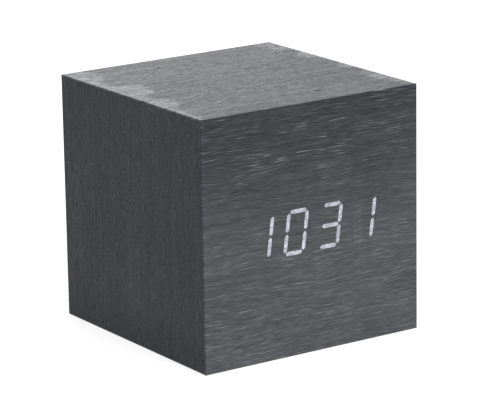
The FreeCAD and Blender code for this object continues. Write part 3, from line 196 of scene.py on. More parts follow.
def stained_veneer(name, run, across, sheet, tone, length, fibre, band, pore, extra):
    """Black-stained open-pored veneer: satin, finely ribbed, with pale and dark short pores."""
    material, tree = new_material(name)
    place, row = grain_place(tree, run, across, sheet, wander=5.0)
    # The length and thickness of each kind of streak in millimetres, and how fine its detail is
    streaks = {
        "fibres": (length, 0.32, 2.0),
        "threads": (0.25 * length, 0.22, 1.0),
        "bands": (60.0, 1.6, 3.0),
        "clouds": (30.0, 16.0, 2.0),
        "pale pores": (0.5 * length, 0.3, 0.5),
        "pale patches": (26.0, 7.0, 2.0),
        "dark pores": (3.0, 0.7, 1.5),
        "dark rows": (14.0, 1.8, 2.0),
    }
    figure = {}
    for streak, (long, thick, detail) in streaks.items():
        scaled = add(tree, "VectorMath", [place, (1 / long, 1 / thick, 1)], operation="MULTIPLY")
        figure[streak] = add(tree, "TexNoise", {"Vector": scaled, "Scale": 1.0, "Detail": detail})
    limits = {
        "pale pores": (0.58, 0.7),
        "pale patches": (0.36, 0.54),
        "dark pores": (0.5, 0.36),
        "dark rows": (0.44, 0.6),
    }
    for streak, (none, full) in limits.items():
        figure[streak] = add(tree, "MapRange", [figure[streak], none, full], interpolation_type="SMOOTHSTEP")
    pale = add(tree, "Math", [figure["pale pores"], figure["pale patches"]], operation="MULTIPLY")
    dark = add(tree, "Math", [figure["dark pores"], figure["dark rows"]], operation="MULTIPLY")
    layers = [(figure["fibres"], fibre), (figure["threads"], fibre), (figure["bands"], band)]
    layers += [(figure["clouds"], cloud_weight), (pale, pale_pore_weight), (dark, -pore)]
    value = tone - 0.5 * (2 * fibre + band + cloud_weight)
    for layer, weight in layers:
        value = add(tree, "Math", [layer, weight, value], operation="MULTIPLY_ADD")
    if extra:
        value = extra(tree, row, value, pale)
    relief = 0.0
    for layer, weight in ((figure["fibres"], 0.6), (dark, -1.0), (pale, 0.3)):
        relief = add(tree, "Math", [layer, weight, relief], operation="MULTIPLY_ADD")
    finish = {
        "Base Color": add(tree, "ValToRGB", [value], stain),
        "Roughness": add(tree, "MapRange", [value, 0.2, 0.9, 0.62, 0.48], interpolation_type="SMOOTHSTEP"),
        "Specular IOR Level": satin,
        "Normal": add(tree, "Bump", {"Height": relief, "Distance": 0.035 * mm}),
    }
    add(tree, "OutputMaterial", [add(tree, "BsdfPrincipled", finish)])
    return material


def front_figure(tree, row, value, pale):
    """Darken the upper front, bring out its pale pores and let unlit segments show faintly."""
    x = row.outputs["X"]
    z = row.outputs["Z"]
    # Each layer begins at the first place and is full at the second, in millimetres
    upper = add(tree, "MapRange", [z, 26.0, 80.0], interpolation_type="SMOOTHSTEP")
    opened = add(tree, "MapRange", [z, 48.0, 64.0], interpolation_type="SMOOTHSTEP")
    pores = add(tree, "Math", [pale, opened], operation="MULTIPLY")
    unlit = 1.0
    for along, outside, inside in ((x, 15.0, 15.6), (x, 19.5, 18.0), (z, 30.5, 32.0), (z, 48.0, 46.0)):
        side = add(tree, "MapRange", [along, outside, inside], interpolation_type="SMOOTHSTEP")
        unlit = add(tree, "Math", [unlit, side], operation="MULTIPLY")
    for layer, weight in ((upper, -0.4), (pores, 0.4), (unlit, 0.07)):
        value = add(tree, "Math", [layer, weight, value], operation="MULTIPLY_ADD")
    return value


def left_painted_foot_shade(tree, row, value, pale):
    """Darken the foot of the left sheet a little with painted shade near the floor."""
    painted_shade_high = 16.0
    darker = -0.14
    foot = add(tree, "MapRange", [row.outputs["Z"], painted_shade_high, 0.0], interpolation_type="SMOOTHSTEP")
    # Painted shade: the lowest part of the left sheet is darkened in its colour
    return add(tree, "Math", [foot, darker, value], operation="MULTIPLY_ADD")


def top_rubbing_and_sheen(tree, row, value, pale):
    """Add paler margins along the left and right edges, partly rubbed by handling and partly painted sheen.
    """
    crumbs = in_millimetres(tree, (3.0, 1.6, 1.0))
    ragged = add(tree, "TexNoise", {"Vector": crumbs, "Scale": 1.0, "Detail": 3.0})
    deepest = 20.0
    raggedness = 2.2
    inset = -1.6
    fade_start = -1.4
    fade_end = 1.2
    paler = 0.27
    # How far each margin reaches in, as a share of the deepest, by place from front to back
    left_reach = [(0.0, 0.12), (0.2, 0.14), (0.28, 0.36), (0.38, 0.44), (0.42, 0.22), (0.47, 0.3)]
    left_reach += [(0.53, 0.56), (0.64, 0.6), (0.68, 0.24), (0.78, 0.2), (0.82, 0.42), (0.92, 0.5)]
    left_reach += [(1.0, 0.12)]
    right_reach = [(0.0, 0.1), (0.12, 0.24), (0.28, 0.3), (0.34, 0.04), (0.44, 0.2), (0.5, 0.1)]
    right_reach += [(0.6, 0.02), (0.66, 0.3), (0.72, 0.34), (0.76, 0.04), (0.84, 0.24), (0.97, 0.4)]
    right_reach += [(1.0, 0.3)]
    for inward, stops in ((1.0, left_reach), (-1.0, right_reach)):
        distance = add(tree, "Math", [row.outputs["X"], inward, -left_x], operation="MULTIPLY_ADD")
        backward = add(tree, "MapRange", [row.outputs["Y"], -depth / 2, depth / 2])
        reach = add(tree, "FloatCurve", {"Value": backward})
        curve = reach.mapping.curves[0]
        for stop in stops[1:-1]:
            curve.points.new(*stop)
        curve.points[0].location = stops[0]
        curve.points[-1].location = stops[-1]
        reach.mapping.update()
        edge = inset
        for layer, weight in ((reach, deepest), (ragged, raggedness), (distance, -1.0)):
            edge = add(tree, "Math", [layer, weight, edge], operation="MULTIPLY_ADD")
        margin = add(tree, "MapRange", [edge, fade_start, fade_end], interpolation_type="SMOOTHSTEP")
        # The paler margins are partly rubbed wear and partly a painted sheen
        value = add(tree, "Math", [margin, paler, value], operation="MULTIPLY_ADD")
    return value


# The direction of each sheet's grain and the one across it, its tone, the length of its fibres in
# millimetres, the weights of its fibres, bands and dark pores, and what only this sheet has
sheets = {
    "front": ("X", "Z", 0.61, 15.0, 0.8, 0.36, 0.04, front_figure),
    "top": ("X", "Y", 0.41, 5.0, 1.15, 0.6, 0.9, top_rubbing_and_sheen),
    "left": ("Z", "Y", 0.44, 4.0, 0.95, 0.4, 0.1, left_painted_foot_shade),
    "right": ("Z", "Y", 0.44, 4.0, 0.95, 0.4, 0.1, None),
    "back": ("X", "Z", 0.46, 12.0, 0.8, 0.4, 0.1, None),
    "bottom": ("X", "Y", 0.46, 12.0, 0.8, 0.4, 0.1, None),
}
for number, (face, (run, across, *looks)) in enumerate(sheets.items()):
    veneer = stained_veneer(f"stained veneer of the {face}", run, across, number, *looks)
    dress(veneer, f"{face}_veneer")

# Lit digits
# The veneer is thinned from behind at each lit segment, so that white light from the diodes passes
# through its fibres. The light is even, with darker fibres across it and a cool white tint.


def lit_veneer():
    """Thin veneer with light behind it: cool white, crossed by darker fibres."""
    material, tree = new_material("lit veneer")
    place, _ = grain_place(tree, "X", "Z", sheet=0, wander=1.0)
    fibre_long = 2.4
    fibre_thick = 0.42
    scaled = add(tree, "VectorMath", [place, (1 / fibre_long, 1 / fibre_thick, 1)], operation="MULTIPLY")
    fibres = add(tree, "TexNoise", {"Vector": scaled, "Scale": 1.0})
    spotted = in_millimetres(tree, (0.9, 0.9, 1.1))
    spots = add(tree, "TexNoise", {"Vector": spotted, "Scale": 1.0, "Detail": 1.0})
    light = -0.12
    for layer, weight in ((fibres, 0.8), (spots, 0.5)):
        light = add(tree, "Math", [layer, weight, light], operation="MULTIPLY_ADD")
    shades = [(0.25, "#84838F"), (0.5, "#B3B2BE"), (0.75, "#E2E2EB")]
    finish = {
        "Base Color": linear("#47484C"),
        "Roughness": 0.6,
        "Specular IOR Level": satin,
        "Emission Color": add(tree, "ValToRGB", [light], shades),
        "Emission Strength": 1.0,
    }
    add(tree, "OutputMaterial", [add(tree, "BsdfPrincipled", finish)])
    return material


def new_piece(name, vertices, faces, material):
    """Make a mesh piece in the frame's own place, smooth except at sharp creases."""
    crease = math.radians(40)
    mesh = bpy.data.meshes.new(name)
    mesh.from_pydata([tuple(vertex) for vertex in vertices], [], faces)
    mesh.validate()
    mesh.polygons.foreach_set("use_smooth", [True] * len(mesh.polygons))
    mesh.set_sharp_from_angle(angle=crease)
    mesh.materials.append(material)
    piece = bpy.data.objects.new(name, mesh)
    bpy.context.scene.collection.objects.link(piece)
    return piece


def facing_out(piece, joined=0.0):
    """Join corners closer than a length and turn every face of a closed piece outward."""
    skin = bmesh.new()
    skin.from_mesh(piece.data)
    bmesh.ops.remove_doubles(skin, verts=skin.verts, dist=joined)
    bmesh.ops.recalc_face_normals(skin, faces=skin.faces)
    skin.to_mesh(piece.data)
    skin.free()
    return piece


def stand_in(piece, node, body):
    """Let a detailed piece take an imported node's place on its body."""
    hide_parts(node)
    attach(piece, body)


def carve(piece, cutter):
    """Cut one shape out of a piece and put the cutter away."""
    crease = math.radians(35)
    cut = piece.modifiers.new("cut", "BOOLEAN")
    cut.object = cutter
    cut.solver = "EXACT"
    bpy.context.view_layer.update()
    mesh = bpy.data.meshes.new_from_object(piece.evaluated_get(bpy.context.evaluated_depsgraph_get()))
    piece.modifiers.clear()
    piece.data = mesh
    mesh.set_sharp_from_angle(angle=crease)
    bpy.data.objects.remove(cutter)


first_low, first_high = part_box("lit_digit_1")
last_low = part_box("lit_digit_4")[0]
digit_width = 8.0
digit_height = 14.2
digit_slant = math.radians(8)
bar_width = 1.25
bar_gap = 0.28
half_across = (digit_width - bar_width) / 2
half_up = (digit_height - bar_width) / 2
digit_pitch = (last_low.x - first_low.x) / 3 / mm
first_x = (first_low.x + first_high.x) / 2 / mm - half_across
display_z = (first_low.z + first_high.z) / 2 / mm
# Each segment runs between two corners of its digit's frame, counted from the frame's middle
bars = {
    "top": ((-1, 1), (1, 1)),
    "upper_right": ((1, 1), (1, 0)),
    "lower_right": ((1, 0), (1, -1)),
    "bottom": ((1, -1), (-1, -1)),
    "lower_left": ((-1, -1), (-1, 0)),
    "upper_left": ((-1, 0), (-1, 1)),
    "middle": ((-1, 0), (1, 0)),
}
lit_bars = [
    ["upper_right", "lower_right"],
    ["top", "upper_right", "lower_right", "bottom", "lower_left", "upper_left"],
    ["top", "upper_right", "lower_right", "bottom", "middle"],
    ["upper_right", "lower_right"],
]


def bar_outline(digit, bar):
    """Give one pointed segment of a slanted digit, from its frame's corners."""
    start, end = (Vector((x * half_across, z * half_up)) for x, z in bars[bar])
    run = (end - start).normalized()
    across = Vector((-run.y, run.x)) * bar_width / 2
    shoulder = run * (bar_gap + bar_width / 2)
    points = [start + run * bar_gap, start + shoulder + across, end - shoulder + across]
    points += [end - run * bar_gap, end - shoulder - across, start + shoulder - across]
    middle_x = first_x + digit * digit_pitch
    return [(middle_x + x + z * math.tan(digit_slant), display_z + z) for x, z in points]


def flat_pieces(name, outlines, front, back, material):
    """Make one piece of several outlines, each carried from the front to the back."""
    vertices = []
    faces = []
    for outline in outlines:
        sides = len(outline)
        start = len(vertices)
        for y in (front, back):
            vertices += [Vector((x * mm, y, z * mm)) for x, z in outline]
        faces.append([start + side for side in range(sides)])
        faces.append([start + sides + side for side in range(sides)])
        for side in range(sides):
            after = (side + 1) % sides
            faces.append([start + side, start + after, start + sides + after, start + sides + side])
    return facing_out(new_piece(name, vertices, faces, material))


glow = lit_veneer()
lit_outlines = [[bar_outline(digit, bar) for bar in lit] for digit, lit in enumerate(lit_bars)]
for digit, outlines in enumerate(lit_outlines, 1):
    skin = flat_pieces(f"lit_skin_{digit}", outlines, first_low.y, first_high.y, glow)
    stand_in(skin, f"lit_digit_{digit}", "case")

# The front sheet has a cut-out round each lit segment, in which the thinned skin sits
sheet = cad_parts["front_veneer"].data.copy()
front_sheet = bpy.data.objects.new("front_sheet", sheet)
bpy.context.scene.collection.objects.link(front_sheet)
facing_out(front_sheet, joined=0.001 * mm)
all_outlines = [outline for outlines in lit_outlines for outline in outlines]
carve(front_sheet, flat_pieces("cut_outs", all_outlines, first_low.y - mm, first_high.y + mm, glow))
stand_in(front_sheet, "front_veneer", "case")

# Display
# The housing is one black moulding with a well for each segment. Milky resin is cast in the wells,
# and a small yellow diode on the board lights each one.


def moulded_plastic(name, shade, lighter, roughness, grain=0.35):
    """Moulded plastic: even colour, a faint spark-eroded grain and soft gloss."""
    material, tree = new_material(name)
    # The real grain is under a tenth of a millimetre, so it is drawn coarser
    fine = in_millimetres(tree, (grain, grain, grain))
    wide = in_millimetres(tree, (7.0, 7.0, 7.0))
    texture = add(tree, "TexNoise", {"Vector": fine, "Scale": 1.0, "Detail": 3.0, "Roughness": 0.6})
    swirls = add(tree, "TexNoise", {"Vector": wide, "Scale": 1.0})
    dull = [texture, 0.3, 0.7, roughness - 0.06, roughness + 0.06]
    finish = {
        "Base Color": add(tree, "ValToRGB", [swirls], [(0.3, shade), (0.7, lighter)]),
        "Roughness": add(tree, "MapRange", dull, interpolation_type="SMOOTHSTEP"),
        "IOR": 1.53,
        "Normal": add(tree, "Bump", {"Height": texture, "Distance": 0.012 * mm}),
    }
    add(tree, "OutputMaterial", [add(tree, "BsdfPrincipled", finish)])
    return material


def cast_resin():
    """Milky epoxy: lets light in a little way and looks like wax."""
    material, tree = new_material("milky resin")
    flow = in_millimetres(tree, (2.0, 2.0, 2.0))
    ripples = add(tree, "TexNoise", {"Vector": flow, "Scale": 1.0})
    finish = {
        "Base Color": add(tree, "ValToRGB", [ripples], [(0.35, "#D8D8CE"), (0.65, "#E9E9E2")]),
        "Roughness": 0.35,
        "IOR": 1.5,
        "Subsurface Weight": 0.4,
        "Subsurface Radius": (2.0 * mm, 2.0 * mm, 2.0 * mm),
        "Subsurface Scale": 0.5,
        "Normal": add(tree, "Bump", {"Height": ripples, "Distance": 0.03 * mm}),
    }
    add(tree, "OutputMaterial", [add(tree, "BsdfPrincipled", finish)])
    return material


def phosphor():
    """Yellow phosphor gel over a diode: matt and slightly grainy."""
    material, tree = new_material("diode phosphor")
    # The real grains are hundredths of a millimetre, so they are drawn coarser
    fine = in_millimetres(tree, (0.15, 0.15, 0.15))
    grains = add(tree, "TexNoise", {"Vector": fine, "Scale": 1.0})
    finish = {
        "Base Color": add(tree, "ValToRGB", [grains], [(0.35, "#D9C24A"), (0.65, "#F0E08A")]),
        "Roughness": 0.5,
        "IOR": 1.41,
    }
    add(tree, "OutputMaterial", [add(tree, "BsdfPrincipled", finish)])
    return material


black_plastic = moulded_plastic("moulded black plastic", "#1C1C1D", "#242426", 0.45)
dress(black_plastic, "display_housing")
dress(cast_resin(), "segment_resin")
dress(phosphor(), "led_chips")

# Circuit boards
# Two glass-fibre laminate boards with green solder mask. Copper tracks show as raised paler lines
# under the mask.


def circuit_laminate():
    """Green solder mask over copper: glossy, with paler lines where tracks run beneath."""
    material, tree = new_material("circuit laminate")
    grid = {"Vector": in_millimetres(tree, (3.2, 3.2, 3.2)), "Scale": 1.0, "Randomness": 0.0}
    cells = add(tree, "TexVoronoi", grid, feature="DISTANCE_TO_EDGE", distance="CHEBYCHEV")
    lines = add(tree, "MapRange", [cells, 0.1, 0.06], interpolation_type="SMOOTHSTEP")
    areas = add(tree, "TexNoise", {"Vector": in_millimetres(tree, (6.0, 6.0, 6.0)), "Scale": 1.0})
    routed = add(tree, "MapRange", [areas, 0.45, 0.55], interpolation_type="SMOOTHSTEP")
    copper = add(tree, "Math", [lines, routed], operation="MULTIPLY")
    finish = {
        "Base Color": add(tree, "ValToRGB", [copper], [(0.1, "#0E3B22"), (0.8, "#2B7A45")]),
        "Roughness": 0.28,
        "IOR": 1.55,
        "Normal": add(tree, "Bump", {"Height": copper, "Distance": 0.05 * mm}),
    }
    add(tree, "OutputMaterial", [add(tree, "BsdfPrincipled", finish)])
    return material


dress(circuit_laminate(), "main_board", "key_board")

# Switches
# Each key presses a small switch on the key board: a black base and plunger, a folded cover of
# nickel-plated steel and a snap dome of the same sheet.


def plated_metal(name, shade, bright, roughness):
    """Plated sheet or wire: bright, with faint drawing lines."""
    material, tree = new_material(name)
    # The real lines are hundredths of a millimetre wide, so they are drawn coarser
    drawn = in_millimetres(tree, (0.15, 2.5, 0.15))
    lines = add(tree, "TexNoise", {"Vector": drawn, "Scale": 1.0})
    dull = [lines, 0.3, 0.7, roughness - 0.07, roughness + 0.07]
    finish = {
        "Base Color": add(tree, "ValToRGB", [lines], [(0.3, shade), (0.7, bright)]),
        "Metallic": 1.0,
        "Roughness": add(tree, "MapRange", dull, interpolation_type="SMOOTHSTEP"),
        "Normal": add(tree, "Bump", {"Height": lines, "Distance": 0.008 * mm}),
    }
    add(tree, "OutputMaterial", [add(tree, "BsdfPrincipled", finish)])
    return material


nickel = plated_metal("nickel plate", "#B9B2A4", "#D2CCC0", 0.28)
dress(nickel, "switch_covers", "switch_domes")
dress(black_plastic, "switch_bases", "set_plunger", "up_plunger", "down_plunger")

# Parts on the boards
# Turned shapes with the small steps of the real parts: a sleeved capacitor can, a watch crystal, a
# sounder with its sound hole, a button cell with its gasket step and a felt-faced microphone.

dress(black_plastic, "clock_chip", "coin_cell_holder")


def join_rings(rings):
    """Give the faces between neighbouring rings of vertex numbers; a ring of one is a tip."""
    faces = []
    for lower, upper in zip(rings, rings[1:]):
        sides = max(len(lower), len(upper))
        for side in range(sides):
            after = (side + 1) % sides
            corners = [lower[side % len(lower)], lower[after % len(lower)]]
            corners += [upper[after % len(upper)], upper[side % len(upper)]]
            unique = list(dict.fromkeys(corners))
            if len(unique) > 2:
                faces.append(unique)
    return faces


def lofted(name, loops, material):
    """Join loops of points into one skin; a loop of one point closes an end."""
    rings = []
    count = 0
    for loop in loops:
        rings.append(list(range(count, count + len(loop))))
        count += len(loop)
    vertices = [point for loop in loops for point in loop]
    return facing_out(new_piece(name, vertices, join_rings(rings), material))


def standing(spot, toward):
    """Give the placement that puts a turned piece at a spot with its axis along a direction."""
    return Matrix.Translation(spot) @ Vector(toward).to_track_quat("Z", "Y").to_matrix().to_4x4()


def turned(name, profile, placement, material, sides=64):
    """Turn a profile of (radius, height) points in millimetres about its own axis."""
    loops = []
    for radius, up in profile:
        count = sides if radius > 0 else 1
        turns = [2 * math.pi * step / count for step in range(count)]
        spots = [Vector((radius * math.cos(turn), radius * math.sin(turn), up)) for turn in turns]
        loops.append([placement @ (spot * mm) for spot in spots])
    return lofted(name, loops, material)


def quarter(centre, radius, start):
    """Give points on a quarter turn from a start angle in degrees, anticlockwise."""
    across, up = centre
    steps = 6
    points = []
    for step in range(steps + 1):
        angle = math.radians(start + 90 * step / steps)
        points.append((across + radius * math.cos(angle), up + radius * math.sin(angle)))
    return points


def on_base(node, toward):
    """Give the placement at the middle of a node's base, and its radius and length in millimetres."""
    low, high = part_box(node)
    way = Vector(toward)
    size = high - low
    base = (low + high) / 2 - way * abs(size.dot(way)) / 2
    long_axis = [abs(value) > 0.5 for value in way].index(True)
    beside = [size[axis] for axis in range(3) if axis != long_axis]
    return standing(base, way), min(beside) / 2 / mm, size[long_axis] / mm


place, radius, rise = on_base("capacitor", (0, 1, 0))
foot = 0.3
crimp = 0.25
groove = [(radius, 0.9), (radius - crimp, 1.15), (radius - crimp, 1.35), (radius, 1.6)]
shrunk = 0.4
lid_edge = radius - 0.75
lid_low = rise - 0.12
lid_high = rise - 0.04
profile = [(0.0, 0.0), (radius - foot, 0.0), (radius, foot), *groove]
profile += quarter((radius - shrunk, rise - shrunk), shrunk, 0.0)
profile += [(lid_edge + 0.05, rise), (lid_edge, lid_low), (0.0, lid_low)]
sleeve = turned("capacitor_sleeve", profile, place, black_plastic)
stand_in(sleeve, "capacitor", "case")
profile = [(0.0, lid_low), (lid_edge - 0.03, lid_low), (lid_edge - 0.1, lid_high), (0.0, lid_high)]
stand_in(turned("capacitor_lid", profile, place, nickel), "capacitor", "case")

place, radius, rise = on_base("crystal", (1, 0, 0))
flare = 0.05
waist = radius - 0.08
crown = 0.25
profile = [(0.0, 0.0), (radius - flare, 0.0), (radius, 0.06), (radius, 0.3), (waist, 0.42)]
profile += [*quarter((waist - crown, rise - crown), crown, 0.0), (0.0, rise)]
stand_in(turned("crystal_can", profile, place, nickel), "crystal", "case")

place, radius, rise = on_base("buzzer", (0, 1, 0))
foot = 0.1
shoulder = 0.5
ring_edge = 4.5
ring_depth = 0.2
hole = 1.2
hole_depth = 1.8
profile = [(0.0, 0.0), (radius - foot, 0.0), (radius, foot)]
profile += quarter((radius - shoulder, rise - shoulder), shoulder, 0.0)
profile += [(ring_edge, rise), (ring_edge - 0.15, rise - ring_depth), (hole + 0.15, rise - ring_depth)]
profile += [(hole, rise - ring_depth - 0.1), (hole, rise - hole_depth), (0.0, rise - hole_depth)]
stand_in(turned("buzzer_case", profile, place, black_plastic), "buzzer", "case")

place, radius, rise = on_base("coin_cell", (0, 1, 0))
cup = radius - 1.0
cup_round = 0.25
gasket = 0.45
profile = [(0.0, 0.0), (cup - 0.3, 0.0), *quarter((cup - cup_round, cup_round), cup_round, 270.0)]
profile += [(cup + 0.1, gasket), (radius - 0.2, gasket + 0.05), (radius, gasket + cup_round)]
profile += [*quarter((radius - cup_round, rise - cup_round), cup_round, 0.0), (0.0, rise)]
stand_in(turned("coin_cell_can", profile, place, nickel), "coin_cell", "case")

place, radius, rise = on_base("microphone", (0, 1, 0))
foot = 0.1
rim = 0.2
felt_edge = radius - 0.5
felt_low = rise - 0.15
profile = [(0.0, 0.0), (radius - foot, 0.0), (radius, foot)]
profile += quarter((radius - rim, rise - rim), rim, 0.0)
profile += [(felt_edge, rise), (felt_edge, felt_low), (0.0, felt_low)]
stand_in(turned("microphone_can", profile, place, nickel), "microphone", "case")
profile = [(0.0, felt_low), (felt_edge - 0.02, felt_low), (felt_edge - 0.2, rise - 0.05)]
profile += [(0.0, rise - 0.02)]
felt = turned("microphone_felt", profile, place, board_stain)
stand_in(felt, "microphone", "case")

# Board screws
# Two zinc-plated tapping screws hold the main board to the front board, and two hold the key board
# to the back panel. Their domed heads have a cross recess, and the thread is drawn as rings.


def screw(name, node, material, spot, toward, size, flat=False):
    """Tapping screw with a cross recess; its spot is the middle of the head's underside.

    Its size is the head's radius and rise, the shank's radius and the length under the head.
    """
    head, rise, shank, length = size
    placement = standing(Vector(spot) * mm, toward)
    pitch = 0.7 * shank
    valley = 0.7 * shank
    ridge = 0.98 * shank
    neck = 0.8 * shank
    thread_start = 1.8 * shank - length
    profile = [(0.0, -length), (0.3 * shank, thread_start - 0.2 * shank)]
    for number in range(int((length - 2.6 * shank) / pitch)):
        up = thread_start + number * pitch
        profile += [(valley, up), (ridge, up + pitch / 2)]
    profile += [(neck, -0.5 * shank), (neck, 0.0)]
    if flat:
        profile += [(head, rise - 0.15), (head, rise - 0.03), (head - 0.05, rise), (0.0, rise)]
    else:
        rim = 0.3
        profile += [(head - 0.12, 0.0), (head, 0.12), (head, rim * rise)]
        for step in range(1, 8):
            turn = math.radians(90 * step / 8)
            profile.append((head * math.cos(turn), (rim + (1 - rim) * math.sin(turn)) * rise))
        profile.append((0.0, rise))
    piece = turned(name, profile, placement, material, sides=40)
    arm = 0.14 * head
    recess_turn = 20
    loops = []
    for up, reach in ((0.3 * rise, 0.34 * head), (rise + 0.3, 0.62 * head)):
        loop = []
        for quarter_turn in range(4):
            spin = Matrix.Rotation(math.radians(90 * quarter_turn + recess_turn), 4, "Z")
            points = [(reach, -arm, up), (reach, arm, up), (arm, arm, up)]
            loop += [placement @ spin @ (Vector(point) * mm) for point in points]
        loops.append(loop)
    ends = [sum(loop, Vector()) / len(loop) for loop in loops]
    carve(piece, lofted("recess", [[ends[0]], *loops, [ends[1]]], material))
    stand_in(piece, node, "case")


zinc = plated_metal("zinc plate", "#AEB2B8", "#C9CDD2", 0.34)
board_screw_size = (2.0, 1.4, 1.1, 6.4)
screw_inset = 3.0
for board, side in (("main_board", 1), ("key_board", -1)):
    low, high = (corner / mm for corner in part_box(board))
    face_y = high.y if side > 0 else low.y
    spots = [(low.x + screw_inset, face_y, high.z - screw_inset)]
    spots += [(high.x - screw_inset, face_y, low.z + screw_inset)]
    for number, spot in enumerate(spots, 1):
        name = f"{board}_screw_{number}"
        screw(name, f"{board}_screws", zinc, spot, (0, side, 0), board_screw_size)

# Ribbon cable
# Seven grey insulated wires side by side, pressed into a nylon plug at each end. The ribs between
# the wires show as fine lines along the ribbon, with painted shade in the grooves between them.

wire_pitch = 1.27


def ribbed_ribbon():
    """Extruded grey vinyl: one round rib to each wire, with painted shade in the grooves and painted
    highlight on the crests.
    """
    material, tree = new_material("grey ribbon")
    row = add(tree, "SeparateXYZ", [in_millimetres(tree)])
    turns = add(tree, "Math", [row.outputs["X"], 2 * math.pi / wire_pitch], operation="MULTIPLY")
    wave = add(tree, "Math", [turns], operation="SINE")
    rib_light_and_shade = add(tree, "MapRange", [wave, -1.0, 1.0], interpolation_type="SMOOTHSTEP")
    finish = {
        # Painted shade darkens the grooves between the wires and painted highlight lightens the crests
        "Base Color": add(tree, "ValToRGB", [rib_light_and_shade], [(0.0, "#55585C"), (0.6, "#96999D")]),
        "Roughness": 0.5,
        "IOR": 1.52,
        "Normal": add(tree, "Bump", {"Height": wave, "Distance": 0.15 * mm}),
    }
    add(tree, "OutputMaterial", [add(tree, "BsdfPrincipled", finish)])
    return material


ivory = moulded_plastic("ivory nylon", "#D9CFB0", "#E6DDC4", 0.5)
dress(ivory, "main_socket", "key_socket", "ribbon_plugs")
dress(ribbed_ribbon(), "ribbon_cable")

# Battery leads
# Two short stranded wires in soft vinyl, one red and one black, run from the contacts in the tray
# to the main board.

red_vinyl = moulded_plastic("red vinyl insulation", "#A8161B", "#C2242A", 0.4, 0.8)
black_vinyl = moulded_plastic("black vinyl insulation", "#161617", "#222224", 0.4, 0.8)
lead_radius = 0.7
# The points that each lead's solid follows, in millimetres, from the contact up and forward
red_route = [(-24.85, -11.2, 17.15), (-24.85, -11.2, 23.15), (-24.85, -15.2, 29.9)]
red_route += [(-26.225, -20.55, 31.9), (-27.6, -24.9, 29.9), (-27.6, -29.9, 29.9)]
black_route = [(24.85, 11.2, 17.15), (24.85, 11.2, 23.15), (24.85, 7.2, 29.9)]
black_route += [(26.425, -9.35, 31.9), (28.0, -24.9, 29.9), (28.0, -29.9, 29.9)]


def rounded(points, cut, steps=6, closed=True):
    """Round each corner of an outline or a route over a length, or as far as its two runs allow."""
    line = []
    for number, corner in enumerate(points):
        if not closed and number in (0, len(points) - 1):
            line.append(corner)
            continue
        before = points[number - 1] - corner
        after = points[(number + 1) % len(points)] - corner
        reach = min(cut, 0.45 * before.length, 0.45 * after.length)
        start = corner + before.normalized() * reach
        stop = corner + after.normalized() * reach
        for step in range(steps + 1):
            share = step / steps
            line.append(start.lerp(corner, share).lerp(corner.lerp(stop, share), share))
    return line


def tube(name, route, radius, material, sides=16):
    """Sweep a round wire along a route of close points."""
    loops = [[route[0]]]
    across = (route[1] - route[0]).orthogonal()
    for number, spot in enumerate(route):
        way = (route[min(number + 1, len(route) - 1)] - route[max(number - 1, 0)]).normalized()
        across = (across - way * across.dot(way)).normalized()
        beside = way.cross(across)
        turns = [2 * math.pi * step / sides for step in range(sides)]
        loops.append([spot + radius * (math.cos(turn) * across + math.sin(turn) * beside) for turn in turns])
    return lofted(name, [*loops, [route[-1]]], material)


for colour, vinyl, points in (("red", red_vinyl, red_route), ("black", black_vinyl, black_route)):
    route = rounded([Vector(point) * mm for point in points], math.inf, 16, closed=False)
    wire = tube(f"{colour}_wire", route, lead_radius * mm, vinyl)
    stand_in(wire, f"{colour}_lead", "case")

# Battery tray and door
# Two black styrene mouldings with a fine matt texture from the mould. The tray is screwed into the
# foot of the case, and the door hangs in it by two tongues.

tray_plastic = moulded_plastic("textured black styrene", "#1D1D1F", "#27272A", 0.52, 0.45)
dress(tray_plastic, "battery_tray", "battery_door")

# Keys
# Three round black mouldings, polished by handling, come through the back panel. A flange keeps
# each one in, and its face is dished for the fingertip.

key_plastic = moulded_plastic("polished black key", "#18181A", "#1F1F22", 0.32, 0.3)
cap = 2.5
cap_round = 0.45
cap_dish = 0.18
flange_thick = 1.0
flange_edge = 0.1
for key in ("set", "up", "down"):
    low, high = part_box(f"{key}_button")
    flange = (high.x - low.x) / 2 / mm
    rise = (high.y - low.y) / mm
    profile = [(0.0, 0.0), (flange - flange_edge, 0.0), (flange, flange_edge)]
    profile += [(flange, flange_thick - flange_edge), (flange - flange_edge, flange_thick)]
    profile += [(cap, flange_thick), *quarter((cap - cap_round, rise - cap_round), cap_round, 0.0)]
    for share in (0.7, 0.45, 0.2, 0.0):
        profile.append(((cap - cap_round) * share, rise - cap_dish * (1 - share**2)))
    middle = (low + high) / 2
    placement = standing(Vector((middle.x, low.y, middle.z)), (0, 1, 0))
    piece = turned(f"{key}_cap", profile, placement, key_plastic)
    stand_in(piece, f"{key}_button", f"{key}_key")

# Power inlet
# A shell folded from thin nickel-plated steel stands upright between the key board and the panel.
# Its tongue carries five contact strips on the side toward the narrower edge.

inlet_low, inlet_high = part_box("power_inlet")
tongue_low, tongue_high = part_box("inlet_tongue")
inlet_middle = (inlet_low + inlet_high) / 2
shell_wall = 0.3
shell_slope = 0.9
shell_bend = 0.45
lip = 0.08
tongue_edge = 0.12
strip_pitch = 0.8
strip_half = 0.22
strip_proud = 0.05
strip_sunk = 0.1
strip_back = 0.2
strip_front = 0.5
strip_edge = 0.03


def shell_loop(inset, y):
    """Give the folded shell's rounded outline at a depth, narrower toward its lower edge."""
    low = inlet_low + Vector((inset, 0, inset)) * mm
    high = inlet_high - Vector((inset, 0, inset)) * mm
    slope = shell_slope * mm
    corners = [(low.x + slope, low.z), (high.x - slope, low.z), (high.x, inlet_middle.z)]
    corners += [(high.x, high.z), (low.x, high.z), (low.x, inlet_middle.z)]
    return rounded([Vector((x, y, z)) for x, z in corners], shell_bend * mm)


